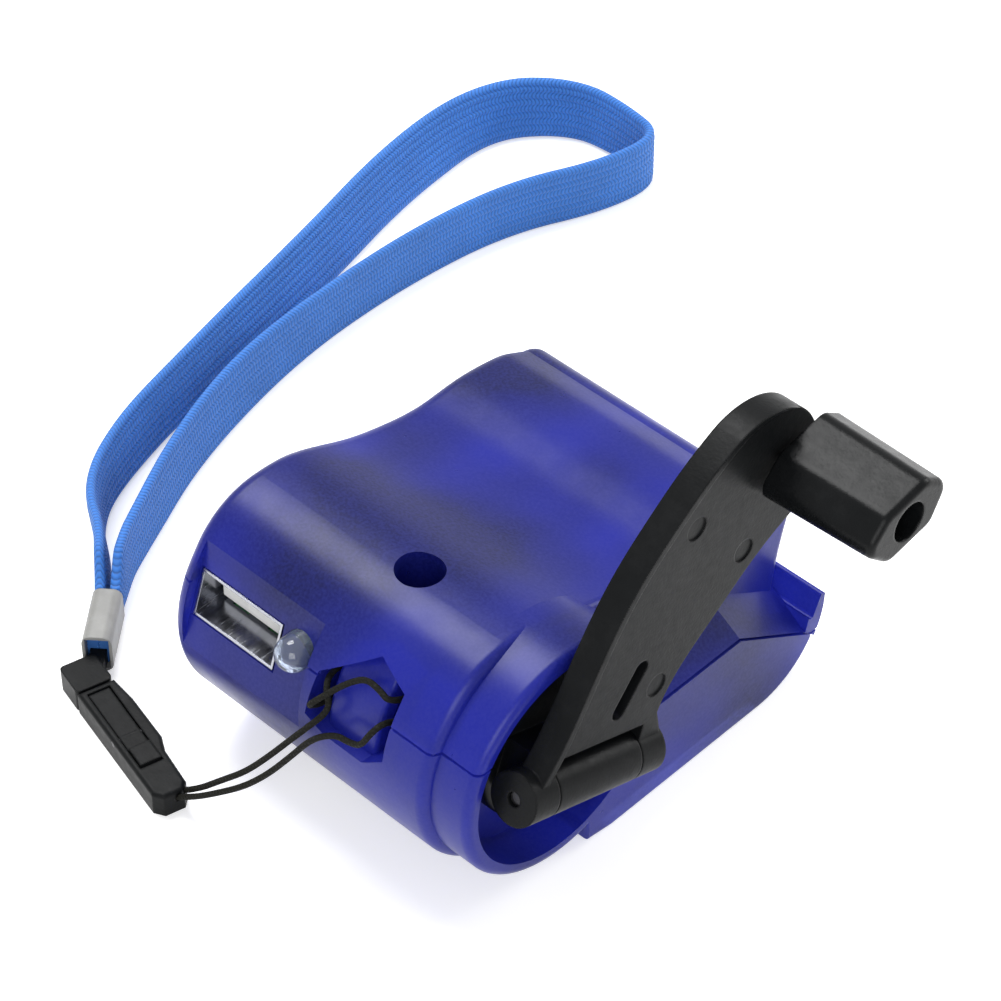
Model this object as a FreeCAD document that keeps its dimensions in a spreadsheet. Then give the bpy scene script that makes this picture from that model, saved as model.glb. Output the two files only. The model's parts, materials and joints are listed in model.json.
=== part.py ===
"""Hand crank phone charger: a two-shell casing with a USB socket, a folding crank on its side,
a two-stage gear train, a small generator and a wrist strap on a quick-release buckle.

Units are millimetres.  The outlines are drawn in a frame whose origin is on the crank axis at the
middle of the casing's width: +X runs along the crank axis towards the crank, -Y points to the USB
end and +Z is up.  Every node is then moved by (0, -axis_setback, axis_height), which puts the
model's own origin in the middle of the flat face that the charger rests on.
"""
import FreeCAD
import Part
import math
import os

from FreeCAD import Placement, Rotation, Vector

# ---------------------------------------------------------------- driving dimensions

DIMENSIONS = [
    # casing
    ("body_width", 46.5, "casing width along the crank axis"),
    ("axis_height", 18.4, "crank axis above the resting face"),
    ("axis_setback", 21.0, "crank axis to the middle of the resting face"),
    ("rest_length", 26.0, "length of the flat resting face"),
    ("near_radius", 16.9, "round USB end"),
    ("front_face", 1.5, "length of the flat front above the round end"),
    ("front_lean", 35.0, "degrees that the flat front leans back"),
    ("hump_radius", 11.9, "corner between the front and the top"),
    ("hump_height", 16.0, "top of the hump above the crank axis"),
    ("valley_height", 9.25, "top of the valley above the crank axis"),
    ("far_radius", 11.2, "round under the far end"),
    ("wall", 1.6, "casing wall"),
    ("edge_round", 1.8, "rounding of the plain side"),
    ("crank_edge_round", 0.9, "rounding of the crank side"),
    ("seam_height", 7.4, "parting line at the front above the crank axis"),
    ("seam_side", 3.5, "parting line on the side below the crank axis"),
    ("seam_width", 0.3, "reveal groove along the parting line"),
    ("side_step", 5.5, "depth of the side relief and of the ring"),
    ("side_ramp", 3.5, "height of the sloping foot of the side relief"),
    ("relief_round", 1.4, "rounding of the edge where the side is set back"),
    ("nose_back", 4.2, "crank axis to the rear end of the step round the nose"),
    ("ring_outer", 15.8, "outer radius of the ring around the hub"),
    ("ring_inner", 14.0, "inner radius of the ring around the hub"),
    # screws
    ("screw_head", 2.1, "head radius of a casing screw"),
    ("screw_shank", 1.1, "shank radius of a casing screw"),
    ("screw_length", 11.0, "shank length of a casing screw"),
    ("top_screw_x", 2.2, "place of the top screw along X"),
    ("top_screw_y", -1.5, "place of the top screw along Y"),
    # socket, lamp and strap bar
    ("panel_lean", 20.0, "degrees that the flat panel round the socket leans back"),
    ("panel_reach", 15.5, "crank axis to the panel"),
    ("panel_left", -21.4, "plain side's end of the panel"),
    ("panel_right", -2.1, "strap bar's end of the panel"),
    ("usb_x", -14.4, "middle of the USB socket along X"),
    ("usb_z", 5.8, "middle of the USB socket above the crank axis"),
    ("usb_width", 13.1, "outside width of the socket shell"),
    ("usb_height", 5.7, "outside height of the socket shell"),
    ("usb_depth", 14.0, "length of the socket shell"),
    ("usb_skin", 0.3, "sheet thickness of the socket shell"),
    ("led_x", -4.75, "middle of the lamp along X"),
    ("led_radius", 2.2, "radius of the lamp"),
    ("strap_bar", 7.6, "width of the bar that holds the strap cord"),
    ("bar_sink", 1.6, "depth of the bar below the round end"),
    ("bar_thickness", 2.0, "bar that holds the strap cord"),
    ("strap_gap", 2.4, "gap behind the bar"),
    ("strap_x", 4.8, "middle of the strap bar along X"),
    # circuit board
    ("board_thickness", 1.2, "circuit board"),
    ("board_width", 17.6, "circuit board"),
    ("board_length", 26.0, "circuit board"),
    # gear train
    ("gear_module", 0.5, "tooth module"),
    ("drive_teeth", 48, "crank gear"),
    ("idler_small", 12, "small ring of the idler"),
    ("idler_large", 40, "large ring of the idler"),
    ("rotor_teeth", 12, "generator pinion"),
    ("mesh_clearance", 0.12, "added to each centre distance"),
    ("idler_angle", -14.0, "direction from the crank axis to the idler, degrees"),
    ("rotor_angle", -4.0, "direction from the idler to the rotor, degrees"),
    ("shaft_radius", 2.0, "crank shaft"),
    ("pin_radius", 1.0, "idler axle and rotor shaft"),
    ("running_gap", 0.05, "radial clearance of a turning fit"),
    ("plate_x", 8.0, "inner face of the gear plate"),
    ("plate_thickness", 1.2, "gear plate"),
    ("generator_radius", 10.0, "generator can"),
    ("generator_length", 20.0, "generator can"),
    # crank
    ("crank_radius", 42.2, "crank axis to knob axis"),
    ("crank_angle", 41.5, "arm above the horizontal, degrees"),
    ("hinge_skew", 61.0, "hinge pin to the line from hub to knob, degrees"),
    ("hinge_lift", 2.6, "hinge pin outside the casing side"),
    ("hinge_radius", 3.3, "hinge barrel and ears"),
    ("hinge_pin_radius", 0.85, "hinge pin"),
    ("barrel_length", 14.0, "hinge barrel"),
    ("ear_width", 4.0, "each hinge ear"),
    ("ear_gap", 0.2, "between barrel and ear"),
    ("arm_thickness", 3.6, "crank arm"),
    ("arm_tip_radius", 10.4, "rounded end of the arm"),
    ("hub_radius", 9.6, "hub disc"),
    ("hub_thickness", 2.0, "hub disc"),
    ("hub_gap", 0.3, "between hub disc and casing"),
    ("knob_width", 14.6, "knob across its broad side"),
    ("knob_thickness", 9.0, "knob across its narrow side"),
    ("knob_length", 15.0, "knob along its axis"),
    ("knob_gap", 0.5, "between arm and knob"),
    # strap
    ("cord_diameter", 0.75, "strap cord"),
    ("band_width", 9.0, "woven strap"),
    ("band_thickness", 1.4, "woven strap"),
    ("buckle_width", 5.2, "buckle body"),
    ("buckle_height", 3.4, "buckle body"),
    ("buckle_length", 20.0, "buckle body"),
]

doc = FreeCAD.newDocument("hand_crank_charger")
sheet = doc.addObject("Spreadsheet::Sheet", "dims")
for row, (alias, value, note) in enumerate(DIMENSIONS, start=1):
    sheet.set(f"A{row}", alias)
    sheet.set(f"B{row}", str(value))
    sheet.set(f"C{row}", note)
    sheet.setAlias(f"B{row}", alias)
doc.recompute()


class Sizes:
    """The spreadsheet's cells as plain numbers, for the outlines that are worked out in code."""

    def __getattr__(self, alias):
        return float(getattr(sheet, alias))


size = Sizes()
nodes = []


# ---------------------------------------------------------------- helpers

def spread(name):
    """A cell of the spreadsheet inside an expression."""
    return "dims." + name


def as_node(shape_object, label, turned=False):
    """Names a finished sub-part and moves it from the crank axis frame to the model's frame."""
    shape_object.Label = label
    if turned:
        shape_object.Placement = Placement(Vector(), Rotation(Vector(1, 0, 0), size.crank_angle))
        shape_object.setExpression("Placement.Rotation.Angle", "dims.crank_angle")
    shape_object.setExpression("Placement.Base.y", "-dims.axis_setback")
    shape_object.setExpression("Placement.Base.z", "dims.axis_height")
    nodes.append(shape_object)
    return shape_object


def feature(label, shape, turned=False):
    """A sub-part whose shape is worked out in code."""
    made = doc.addObject("Part::Feature", label)
    made.Shape = shape
    return as_node(made, label, turned)


def place(made, at, along="z"):
    """Puts a primitive at three expressions, with its own z axis along x, y or z."""
    turn = {"x": Rotation(Vector(0, 1, 0), 90), "y": Rotation(Vector(1, 0, 0), -90), "z": Rotation()}
    made.Placement = Placement(Vector(), turn[along])
    for key, expression in zip("xyz", at):
        made.setExpression(f"Placement.Base.{key}", str(expression))
    return made


def cylinder(radius, height, at, along="x"):
    made = doc.addObject("Part::Cylinder", "cylinder")
    made.setExpression("Radius", str(radius))
    made.setExpression("Height", str(height))
    return place(made, at, along)


def box(length, width, height, at):
    """A box that is centred on its place along X and starts there along Y and Z."""
    made = doc.addObject("Part::Box", "box")
    made.setExpression("Length", str(length))
    made.setExpression("Width", str(width))
    made.setExpression("Height", str(height))
    return place(made, (f"{at[0]} - ({length}) / 2", at[1], at[2]))


def cut(base, *tools):
    made = doc.addObject("Part::Cut", "cut")
    made.Base = base
    made.Tool = tools[0] if len(tools) == 1 else fuse(*tools)
    return made


def fuse(*shapes):
    made = doc.addObject("Part::MultiFuse", "fuse")
    made.Shapes = list(shapes)
    return made


def group(*shapes):
    """Identical pieces that share one node as separate solids."""
    made = doc.addObject("Part::Compound", "group")
    made.Links = list(shapes)
    return made


def at_yz(y, z, x=0.0):
    return Vector(x, y, z)


def line(start, end):
    return Part.LineSegment(start, end).toShape()


def arc(start, middle, end):
    return Part.Arc(start, middle, end).toShape()


def polygon(points, x=0.0):
    """A closed wire through (y, z) points in a plane across X."""
    corners = [at_yz(y, z, x) for y, z in points]
    return Part.makePolygon(corners + corners[:1])


def prism(wire, x_low, x_high):
    """A wire of the YZ plane, made solid between two places along X."""
    face = Part.Face(wire)
    face.translate(Vector(x_low, 0, 0))
    return face.extrude(Vector(x_high - x_low, 0, 0))


def block(x_range, y_range, z_range):
    low = Vector(x_range[0], y_range[0], z_range[0])
    return Part.makeBox(x_range[1] - x_range[0], y_range[1] - y_range[0], z_range[1] - z_range[0], low)


def rod(radius, start, end):
    return Part.makeCylinder(radius, (end - start).Length, start, end - start)


def polar(radius, degrees):
    return radius * math.cos(math.radians(degrees)), radius * math.sin(math.radians(degrees))


# ---------------------------------------------------------------- casing outline

half_width = size.body_width / 2
rest_front = size.axis_setback - size.rest_length / 2
rest_rear = size.axis_setback + size.rest_length / 2
floor_z = -size.axis_height
far_reach = rest_rear + size.far_radius
far_centre = (rest_rear, floor_z + size.far_radius)

# the top from the hump to the far end: share of the reach, share of the drop from hump to valley
TOP_LINE = [(0.024, 0.044), (0.124, 0.26), (0.244, 0.596), (0.377, 0.852), (0.52, 0.995), (0.665, 0.963)]
TIP_DROP = 2.6      # the far end's top edge below the valley
TIP_DEPTH = 4.2     # from there down to the foremost point of the tip
GROOVE_DEPTH = 1.2  # hollow of the far face between tip and lip
LIP_DROP = 0.8      # crest of the lip above the middle of the far round
LIP_ANGLE = -30.0   # where the lip grows out of the far round, degrees


def front_corner():
    """Ends of the flat front, and the centre of the corner above it."""
    low = at_yz(*polar(size.near_radius, 180 - size.front_lean))
    along = at_yz(math.sin(math.radians(size.front_lean)), math.cos(math.radians(size.front_lean)))
    high = low + along * size.front_face
    centre = high + Vector(0, along.z, -along.y) * size.hump_radius
    return low, high, centre


def casing_outline():
    """Closed side outline of the casing without the lip, walked from the underside to the front,
    over the top and down the far end."""
    # the underside leaves the round end on the tangent that meets the front of the resting face
    reach = math.hypot(rest_front, floor_z)
    toward = math.degrees(math.atan2(floor_z, rest_front))
    touch = toward - math.degrees(math.acos(size.near_radius / reach))
    low, high, centre = front_corner()
    bottom = at_yz(*polar(size.near_radius, touch))
    round_end = arc(bottom, at_yz(*polar(size.near_radius, (touch + 360 + 180 - size.front_lean) / 2)), low)
    crown = centre + Vector(0, 0, size.hump_radius)
    halfway = centre + (at_yz(*polar(size.hump_radius, 135 - size.front_lean / 2)))
    corner = arc(high, halfway, crown)

    drop = size.hump_height - size.valley_height
    tip_y = far_reach - 0.5
    tip_z = size.valley_height - TIP_DROP - TIP_DEPTH
    shoulder = at_yz(far_reach - 4.0, size.valley_height - TIP_DROP)
    points = [crown] + [at_yz(share * far_reach, size.hump_height - fall * drop) for share, fall in TOP_LINE]
    points += [at_yz(far_reach - 8.8, size.valley_height - 0.55), shoulder]
    top = Part.BSplineCurve()
    top.interpolate(points, InitialTangent=Vector(0, 10, 0), FinalTangent=Vector(0, 9, -4.5))
    tip = at_yz(tip_y, tip_z)
    nose = arc(shoulder, at_yz(far_reach - 1.35, size.valley_height - TIP_DROP - 1.5), tip)

    foot = at_yz(far_reach - 2.6, far_centre[1] - 1.4)
    middle = (tip + foot) * 0.5 - Vector(0, GROOVE_DEPTH - 0.9, 0)
    groove = arc(tip, middle, foot)
    lip_y, lip_z = polar(size.far_radius, LIP_ANGLE)
    root = at_yz(far_centre[0] + lip_y, far_centre[1] + lip_z)
    under_y, under_z = polar(size.far_radius, (LIP_ANGLE - 90) / 2)
    far_round = arc(root, at_yz(far_centre[0] + under_y, far_centre[1] + under_z), at_yz(rest_rear, floor_z))
    edges = [
        round_end,
        line(low, high),
        corner,
        top.toShape(),
        nose,
        groove,
        line(foot, root),
        far_round,
        line(at_yz(rest_rear, floor_z), at_yz(rest_front, floor_z)),
        line(at_yz(rest_front, floor_z), bottom),
    ]
    return Part.Wire(edges)


def inset_outline(distance):
    """The casing outline moved inwards.  The free curves of the top come out as one smooth spline."""
    edges = list(casing_outline().makeOffset2D(-distance).OrderedEdges)
    while edges[0].Curve.TypeId not in ("Part::GeomLine", "Part::GeomCircle"):
        edges.append(edges.pop(0))
    result = []
    points = []
    for edge in edges + edges[:1]:
        if edge.Curve.TypeId in ("Part::GeomLine", "Part::GeomCircle"):
            if points:
                top = Part.BSplineCurve()
                top.interpolate(points)
                result.append(top.toShape())
                points = []
            result.append(edge)
            continue
        samples = edge.discretize(Number=max(3, int(edge.Length / 1.5) + 1))
        before = points[-1] if points else result[-1].Vertexes[0].Point
        ends = [vertex.Point for vertex in result[-1].Vertexes]
        gap = min((samples[0] - end).Length for end in ends) if not points else (samples[0] - before).Length
        other = min((samples[-1] - end).Length for end in ends) if not points else (samples[-1] - before).Length
        if other < gap:
            samples = samples[::-1]
        points += samples[1:] if points else samples
    return Part.Wire(Part.__sortEdges__(result[:-1]))


def lip_outline():
    """The hooked lip under the far end's groove."""
    lip_y, lip_z = polar(size.far_radius, LIP_ANGLE)
    root = at_yz(far_centre[0] + lip_y, far_centre[1] + lip_z)
    half_y, half_z = polar(size.far_radius, LIP_ANGLE / 2)
    reach = at_yz(far_reach, far_centre[1])
    crest_in = at_yz(far_reach - 0.75, far_centre[1] + LIP_DROP - 0.25)
    trough = at_yz(far_reach - 1.8, far_centre[1] - 1.9)
    inner = at_yz(far_reach - 2.7, far_centre[1] - 1.9)
    edges = [
        arc(root, at_yz(far_centre[0] + half_y, far_centre[1] + half_z), reach),
        arc(reach, at_yz(far_reach - 0.25, far_centre[1] + LIP_DROP - 0.1), crest_in),
        line(crest_in, trough),
        arc(trough, at_yz(far_reach - 2.25, far_centre[1] - 2.3), inner),
        line(inner, at_yz(far_reach - 3.2, far_centre[1] - 4.0)),
        line(at_yz(far_reach - 3.2, far_centre[1] - 4.0), root),
    ]
    return Part.Wire(edges)


def seam_line():
    """The parting line of the two shells, seen from the side."""
    side = -size.seam_side
    kink = rest_rear - 4.2
    end = far_reach - 2.2
    return [
        (-size.near_radius * 2, size.seam_height),
        (size.near_radius * 0.56, size.seam_height),
        (size.near_radius * 0.88, side),
        (kink, side),
        (end, side - 8.5),
        (far_reach * 1.5, side - 8.5),
    ]


def relief_outline(rise):
    """The part of the side that is set back, with its sloping foot raised by rise."""
    points = seam_line()
    kink, end = points[3], points[4]
    far = far_reach * 1.5
    lip_top = far_centre[1] + 2.0
    return [
        (-far, -size.seam_side + rise),
        (kink[0], kink[1] + rise),
        (end[0], end[1] + rise),
        (end[0], lip_top),
        (far, lip_top),
        (far, far),
        (-far, far),
    ]


def relief(inset, deeper=0.0):
    """Solid that sets the upper part of the crank side back and leaves its sloping foot.

    It starts inset below the outer faces, so that the same call makes the outer form and the space
    one wall further in.  With deeper it reaches further in along the same slope."""
    points = relief_outline(size.side_ramp)
    slope = size.side_ramp / size.side_step
    low = [(y, z - inset + slope * deeper) for y, z in points]
    face = Part.Face(polygon(low, half_width - size.side_step - inset - deeper))
    reach = size.side_step * 2
    slanted = face.extrude(Vector(reach, 0, -slope * reach))
    end = seam_line()[4][0]
    far = far_reach * 3
    keep = block((-half_width * 2, half_width * 2), (end, far), (-far, far_centre[1] + 2.0 - inset))
    return slanted.cut(keep)


def nose_relief(inset, deeper=0.0):
    """Solid that sets the crank side back all round the nose, so that the ring stands free there."""
    step = half_width - size.side_step - inset - deeper
    return block((step, half_width * 2), (-far_reach, size.nose_back + inset), (-far_reach, far_reach))


def near_vertical_end(edge, x):
    """True for an edge of the casing that lies in the side face at x."""
    return all(abs(vertex.X - x) < 1e-4 for vertex in edge.Vertexes)


def casing_block():
    """The whole outer form of the casing, as one solid."""
    body = prism(casing_outline(), -half_width, half_width)
    plain = [edge for edge in body.Edges if near_vertical_end(edge, -half_width)]
    body = body.makeFillet(size.edge_round, plain)
    crank_side = [edge for edge in body.Edges if near_vertical_end(edge, half_width)]
    body = body.makeFillet(size.crank_edge_round, crank_side)
    body = body.cut([relief(0.0, size.relief_round), nose_relief(0.0, size.relief_round)])
    set_back = prism(casing_outline(), 0, half_width - size.side_step)
    step = [edge for edge in set_back.Edges if near_vertical_end(edge, half_width - size.side_step)]
    set_back = set_back.makeFillet(size.relief_round, step)
    ring = rod(size.ring_outer, Vector(half_width - size.side_step - 3, 0, 0), Vector(half_width, 0, 0))
    rim = [edge for edge in ring.Edges if near_vertical_end(edge, half_width)]
    ring = ring.makeFillet(1.1, rim)
    lip = prism(lip_outline(), -half_width + 1.0, half_width)
    body = body.fuse([set_back, ring, lip])
    recess = rod(size.ring_inner, Vector(half_width - size.side_step, 0, 0), Vector(half_width + 1, 0, 0))
    return body.cut(recess).removeSplitter()


def casing_cavity():
    """The space inside the casing, one wall in from every outer face."""
    space = prism(inset_outline(size.wall), -half_width + size.wall, half_width - size.wall)
    space = space.cut([relief(size.wall), nose_relief(size.wall)])
    hub = rod(
        size.ring_inner + size.wall,
        Vector(half_width - size.side_step - size.wall, 0, 0),
        Vector(half_width, 0, 0),
    )
    return space.cut(hub)


def seam_reveal():
    """A thin slab along the parting line, which leaves the fine groove that shows between the shells."""
    points = seam_line()
    half = size.seam_width / 2
    upper = [(y, z + half) for y, z in points]
    lower = [(y, z - half) for y, z in reversed(points)]
    slab = prism(polygon(upper + lower), -half_width - 1, half_width + 1)
    core = prism(inset_outline(0.45), -half_width + 0.45, half_width - 0.45)
    core = core.cut([relief(0.45), nose_relief(0.45)])
    return slab.cut(core)


def upper_mask():
    far = far_reach * 2
    points = seam_line()
    return prism(polygon([(-far, size.seam_height)] + points[1:5] + [(far, points[5][1]), (far, far), (-far, far)]),
                 -half_width * 2, half_width * 2)


# ---------------------------------------------------------------- casing shells

BOSS_WALL = 1.6
boss_foot = 2.0       # lower end of the top screw's boss, from the crank axis
seat_thickness = 1.8  # plastic under a screw head
lower_screws = [(-17.0, rest_rear + 2.0), (13.0, rest_rear + 2.0)]
lower_seat = floor_z + 3.4
lower_joint = lower_seat + 2.0
lean_sine = math.sin(math.radians(size.panel_lean))
lean_cosine = math.cos(math.radians(size.panel_lean))
usb_front = (size.usb_z * lean_sine - size.panel_reach) / lean_cosine
led_z = size.seam_height
bar_face = size.near_radius - size.bar_sink
bar_back = bar_face - size.bar_thickness
pocket_floor = bar_back - size.strap_gap
pocket_end = -pocket_floor * 0.8
# the pocket round the strap bar as it is seen from the front: places along X and Z
POCKET_OUTLINE = [(-1.1, 2.0), (-0.4, 7.9), (6.4, 12.6), (11.1, 11.0), (11.1, 3.0), (8.0, 0.8), (2.0, 0.8)]
board_top = size.usb_z - size.usb_height / 2
board_y = usb_front + 1.2
board_x = size.usb_x + 2.2
board_posts = [
    (board_x - 7.0, board_y + size.board_length - 2.4),
    (board_x + 7.0, board_y + size.board_length - 2.4),
    (board_x - 6.0, board_y + 3.0),
    (board_x + 6.6, board_y + 3.0),
]


def panel_block(inside, outside, left, right, half_height):
    """A block parallel to the panel round the socket, between two distances from the crank axis."""
    made = block((left, right), (-outside, -inside), (-half_height, half_height))
    made.rotate(Vector(), Vector(1, 0, 0), -size.panel_lean)
    return made


def socket_openings():
    """The flat panel in the round front, with the holes for the socket and the lamp."""
    half = size.usb_width / 2
    panel = panel_block(size.panel_reach, size.near_radius * 2, size.panel_left, size.panel_right, 20.0)
    hole = block(
        (size.usb_x - half - 0.25, size.usb_x + half + 0.25),
        (-size.near_radius * 1.5, usb_front + 4.0),
        (size.usb_z - size.usb_height / 2 - 0.25, size.usb_z + size.usb_height / 2 + 0.25),
    )
    lamp = rod(size.led_radius + 0.05, Vector(size.led_x, -size.near_radius * 2, led_z),
               Vector(size.led_x, usb_front + 4.2, led_z))
    return hole.fuse([panel, lamp])


def panel_backing(casing):
    """One wall's thickness behind the panel."""
    behind = panel_block(
        size.panel_reach - size.wall,
        size.near_radius,
        size.panel_left - size.wall,
        size.panel_right + size.wall,
        7.6,
    )
    return behind.common(casing)


def strap_housing(casing):
    """Walls of the pocket behind the strap bar."""
    low_x = min(x for x, z in POCKET_OUTLINE) - 1.2
    high_x = max(x for x, z in POCKET_OUTLINE) + 1.2
    low_z = min(z for x, z in POCKET_OUTLINE) - 1.2
    high_z = max(z for x, z in POCKET_OUTLINE) + 1.2
    around = block((low_x, high_x), (-size.near_radius * 1.5, pocket_end + 1.2), (low_z, high_z))
    around = around.cut(rod(pocket_floor - 1.2, Vector(low_x - 1, 0, 0), Vector(high_x + 1, 0, 0)))
    return around.common(casing)


def pocket_block():
    """The pocket's outline, from in front of the casing to the pocket's end."""
    corners = [Vector(x, -size.near_radius * 1.5, z) for x, z in POCKET_OUTLINE]
    face = Part.Face(Part.makePolygon(corners + corners[:1]))
    return face.extrude(Vector(0, size.near_radius * 1.5 + pocket_end, 0))


def strap_bar():
    """The bar across the pocket: part of a tube round the crank axis with rounded front edges."""
    low = Vector(size.strap_x - size.strap_bar / 2, 0, 0)
    high = Vector(size.strap_x + size.strap_bar / 2, 0, 0)
    bar = rod(bar_face, low, high)
    rims = [edge for edge in bar.Edges if near_vertical_end(edge, low.x) or near_vertical_end(edge, high.x)]
    bar = bar.makeFillet(0.6, rims)
    return bar.cut(rod(bar_back, low, high)).common(pocket_block())


def strap_pocket():
    """The pocket on both sides of the strap bar and behind it."""
    low_x = min(x for x, z in POCKET_OUTLINE) - 1
    high_x = max(x for x, z in POCKET_OUTLINE) + 1
    core = rod(pocket_floor, Vector(low_x, 0, 0), Vector(high_x, 0, 0))
    return pocket_block().cut([core, strap_bar()])


def make_shells():
    casing = casing_block()
    hollow = casing.cut(casing_cavity())
    mask = upper_mask()
    reveal = seam_reveal()
    openings = socket_openings()
    pocket = strap_pocket()
    walls = [strap_housing(casing), panel_backing(casing)]
    skin = hollow.fuse(walls).cut(pocket).cut(openings).cut(reveal)
    upper = skin.common(mask)
    lower = skin.cut(mask)

    x, y = size.top_screw_x, size.top_screw_y
    bore = size.screw_head + 0.85
    top_boss = rod(bore + BOSS_WALL, Vector(x, y, boss_foot), Vector(x, y, size.hump_height * 2)).common(casing)
    upper = upper.fuse(top_boss)
    upper = upper.cut(rod(bore, Vector(x, y, boss_foot + seat_thickness), Vector(x, y, size.hump_height * 2)))
    upper = upper.cut(rod(size.screw_shank + 0.2, Vector(x, y, boss_foot - 1), Vector(x, y, size.hump_height)))
    lower_boss = rod(size.screw_shank + BOSS_WALL, Vector(x, y, floor_z + 1), Vector(x, y, boss_foot - 0.05)).common(casing)
    lower = lower.fuse(lower_boss)
    lower = lower.cut(rod(size.screw_shank, Vector(x, y, boss_foot - size.screw_length), Vector(x, y, boss_foot)))

    for x, y in lower_screws:
        post = rod(size.screw_head + BOSS_WALL, Vector(x, y, floor_z + 0.5), Vector(x, y, lower_joint - 0.05))
        lower = lower.fuse(post.common(casing))
        lower = lower.cut(rod(size.screw_head + 0.3, Vector(x, y, floor_z - 1), Vector(x, y, lower_seat)))
        lower = lower.cut(rod(size.screw_shank + 0.2, Vector(x, y, floor_z), Vector(x, y, lower_joint)))
        hanger = rod(size.screw_shank + BOSS_WALL, Vector(x, y, lower_joint), Vector(x, y, size.hump_height)).common(casing)
        upper = upper.fuse(hanger)
        tip = lower_seat + size.screw_length
        upper = upper.cut(rod(size.screw_shank, Vector(x, y, lower_joint - 1), Vector(x, y, tip)))

    for x, y in board_posts:
        post = rod(1.9, Vector(x, y, floor_z + 1), Vector(x, y, board_top - size.board_thickness)).common(casing)
        lower = lower.fuse(post)
        lower = lower.cut(rod(0.7, Vector(x, y, board_top - 6.0), Vector(x, y, board_top)))

    bar = strap_bar()
    upper = upper.cut(bar)
    lower = lower.fuse(bar)

    bush_hole = rod(size.shaft_radius + 1.2, Vector(0, 0, 0), Vector(half_width, 0, 0))
    lower = lower.cut(bush_hole)
    return upper.removeSplitter(), lower.removeSplitter()


upper_shell, lower_shell = make_shells()
feature("upper_shell", upper_shell)
feature("lower_shell", lower_shell)


def casing_screw(x, y, seat, up):
    """A round-headed screw standing along Z, head above the seat if up, else below it."""
    sign = 1 if up else -1
    head = cylinder(spread("screw_head"), 1.5, (x, y, seat if up else seat - 1.5), "z")
    shank = cylinder(
        spread("screw_shank"),
        spread("screw_length"),
        (x, y, f"{seat} - dims.screw_length" if up else seat),
        "z",
    )
    slot = box(2.6, 0.5, 0.7, (x, f"{y} - 0.25", seat + sign * 0.8 if up else seat - 1.5))
    cross = box(0.5, 2.6, 0.7, (x, f"{y} - 1.3", seat + sign * 0.8 if up else seat - 1.5))
    return cut(fuse(head, shank), slot, cross)


top_screw = casing_screw(spread("top_screw_x"), spread("top_screw_y"), boss_foot + seat_thickness, True)
as_node(top_screw, "top_screw")
rear_screws = [casing_screw(x, y, lower_seat, False) for x, y in lower_screws]
as_node(group(*rear_screws), "rear_screws")


# ---------------------------------------------------------------- socket, lamp and circuit board

def usb_x(offset=0.0):
    return f"dims.usb_x + {offset}"


usb_low = "dims.usb_z - dims.usb_height / 2"
SLEEVE_SPARE = 1.4     # the sleeve starts in front of the panel and is cut flush with it
sleeve = box(
    spread("usb_width"),
    f"dims.usb_depth + {SLEEVE_SPARE}",
    spread("usb_height"),
    (usb_x(), usb_front - SLEEVE_SPARE, usb_low),
)
sleeve_bore = box(
    "dims.usb_width - 2 * dims.usb_skin",
    f"dims.usb_depth - dims.usb_skin + {SLEEVE_SPARE + 1}",
    "dims.usb_height - 2 * dims.usb_skin",
    (usb_x(), usb_front - SLEEVE_SPARE - 1, f"{usb_low} + dims.usb_skin"),
)
flush_cut = doc.addObject("Part::Feature", "flush_cut")
flush_cut.Shape = panel_block(size.panel_reach, size.near_radius * 2, size.panel_left, size.panel_right, 20.0)
spring_slots = []
spring_bumps = []
for side in (-1, 1):
    level = f"dims.usb_z + {side} * (dims.usb_height / 2 - dims.usb_skin / 2)"
    for offset in (-2.9, 2.9):
        window = box(2.6, 5.2, 1.0, (usb_x(offset), usb_front + 3.0, f"{level} - 0.5"))
        finger = box(1.9, 4.9, 1.2, (usb_x(offset), usb_front + 3.35, f"{level} - 0.6"))
        spring_slots.append(cut(window, finger))
        bump = cylinder(
            0.28,
            1.6,
            (f"{usb_x(offset)} - 0.8", usb_front + 4.2, f"dims.usb_z + {side} * (dims.usb_height / 2 - dims.usb_skin)"),
        )
        spring_bumps.append(bump)
usb_shell = cut(fuse(cut(sleeve, sleeve_bore), *spring_bumps), flush_cut, *spring_slots)
as_node(usb_shell, "usb_shell")

TONGUE_WIDTH = 11.1
TONGUE_THICKNESS = 1.84
TONGUE_LENGTH = 7.4
CONTACT_PLACES = (-3.5, -1.0, 1.0, 3.5)
CONTACT_WIDTH = 1.0
tongue_back = usb_front + size.usb_depth - size.usb_skin
tongue_low = f"{usb_low} + dims.usb_skin + 0.55"
contact_low = f"{tongue_low} + {TONGUE_THICKNESS - 0.25}"
blade = box(TONGUE_WIDTH, TONGUE_LENGTH, TONGUE_THICKNESS, (usb_x(), tongue_back - TONGUE_LENGTH - 3.4, tongue_low))
heel = box(
    "dims.usb_width - 2 * dims.usb_skin",
    3.4,
    "dims.usb_height - 2 * dims.usb_skin",
    (usb_x(), tongue_back - 3.4, f"{usb_low} + dims.usb_skin"),
)
grooves = [
    box(CONTACT_WIDTH, TONGUE_LENGTH + 2.0, 0.25, (usb_x(x), tongue_back - TONGUE_LENGTH - 3.0, contact_low))
    for x in CONTACT_PLACES
]
as_node(cut(fuse(blade, heel), *grooves), "usb_tongue")
contacts = [
    box(CONTACT_WIDTH, TONGUE_LENGTH - 0.7, 0.3, (usb_x(x), tongue_back - TONGUE_LENGTH - 2.9, contact_low))
    for x in CONTACT_PLACES
]
as_node(group(*contacts), "usb_contacts")

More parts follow.
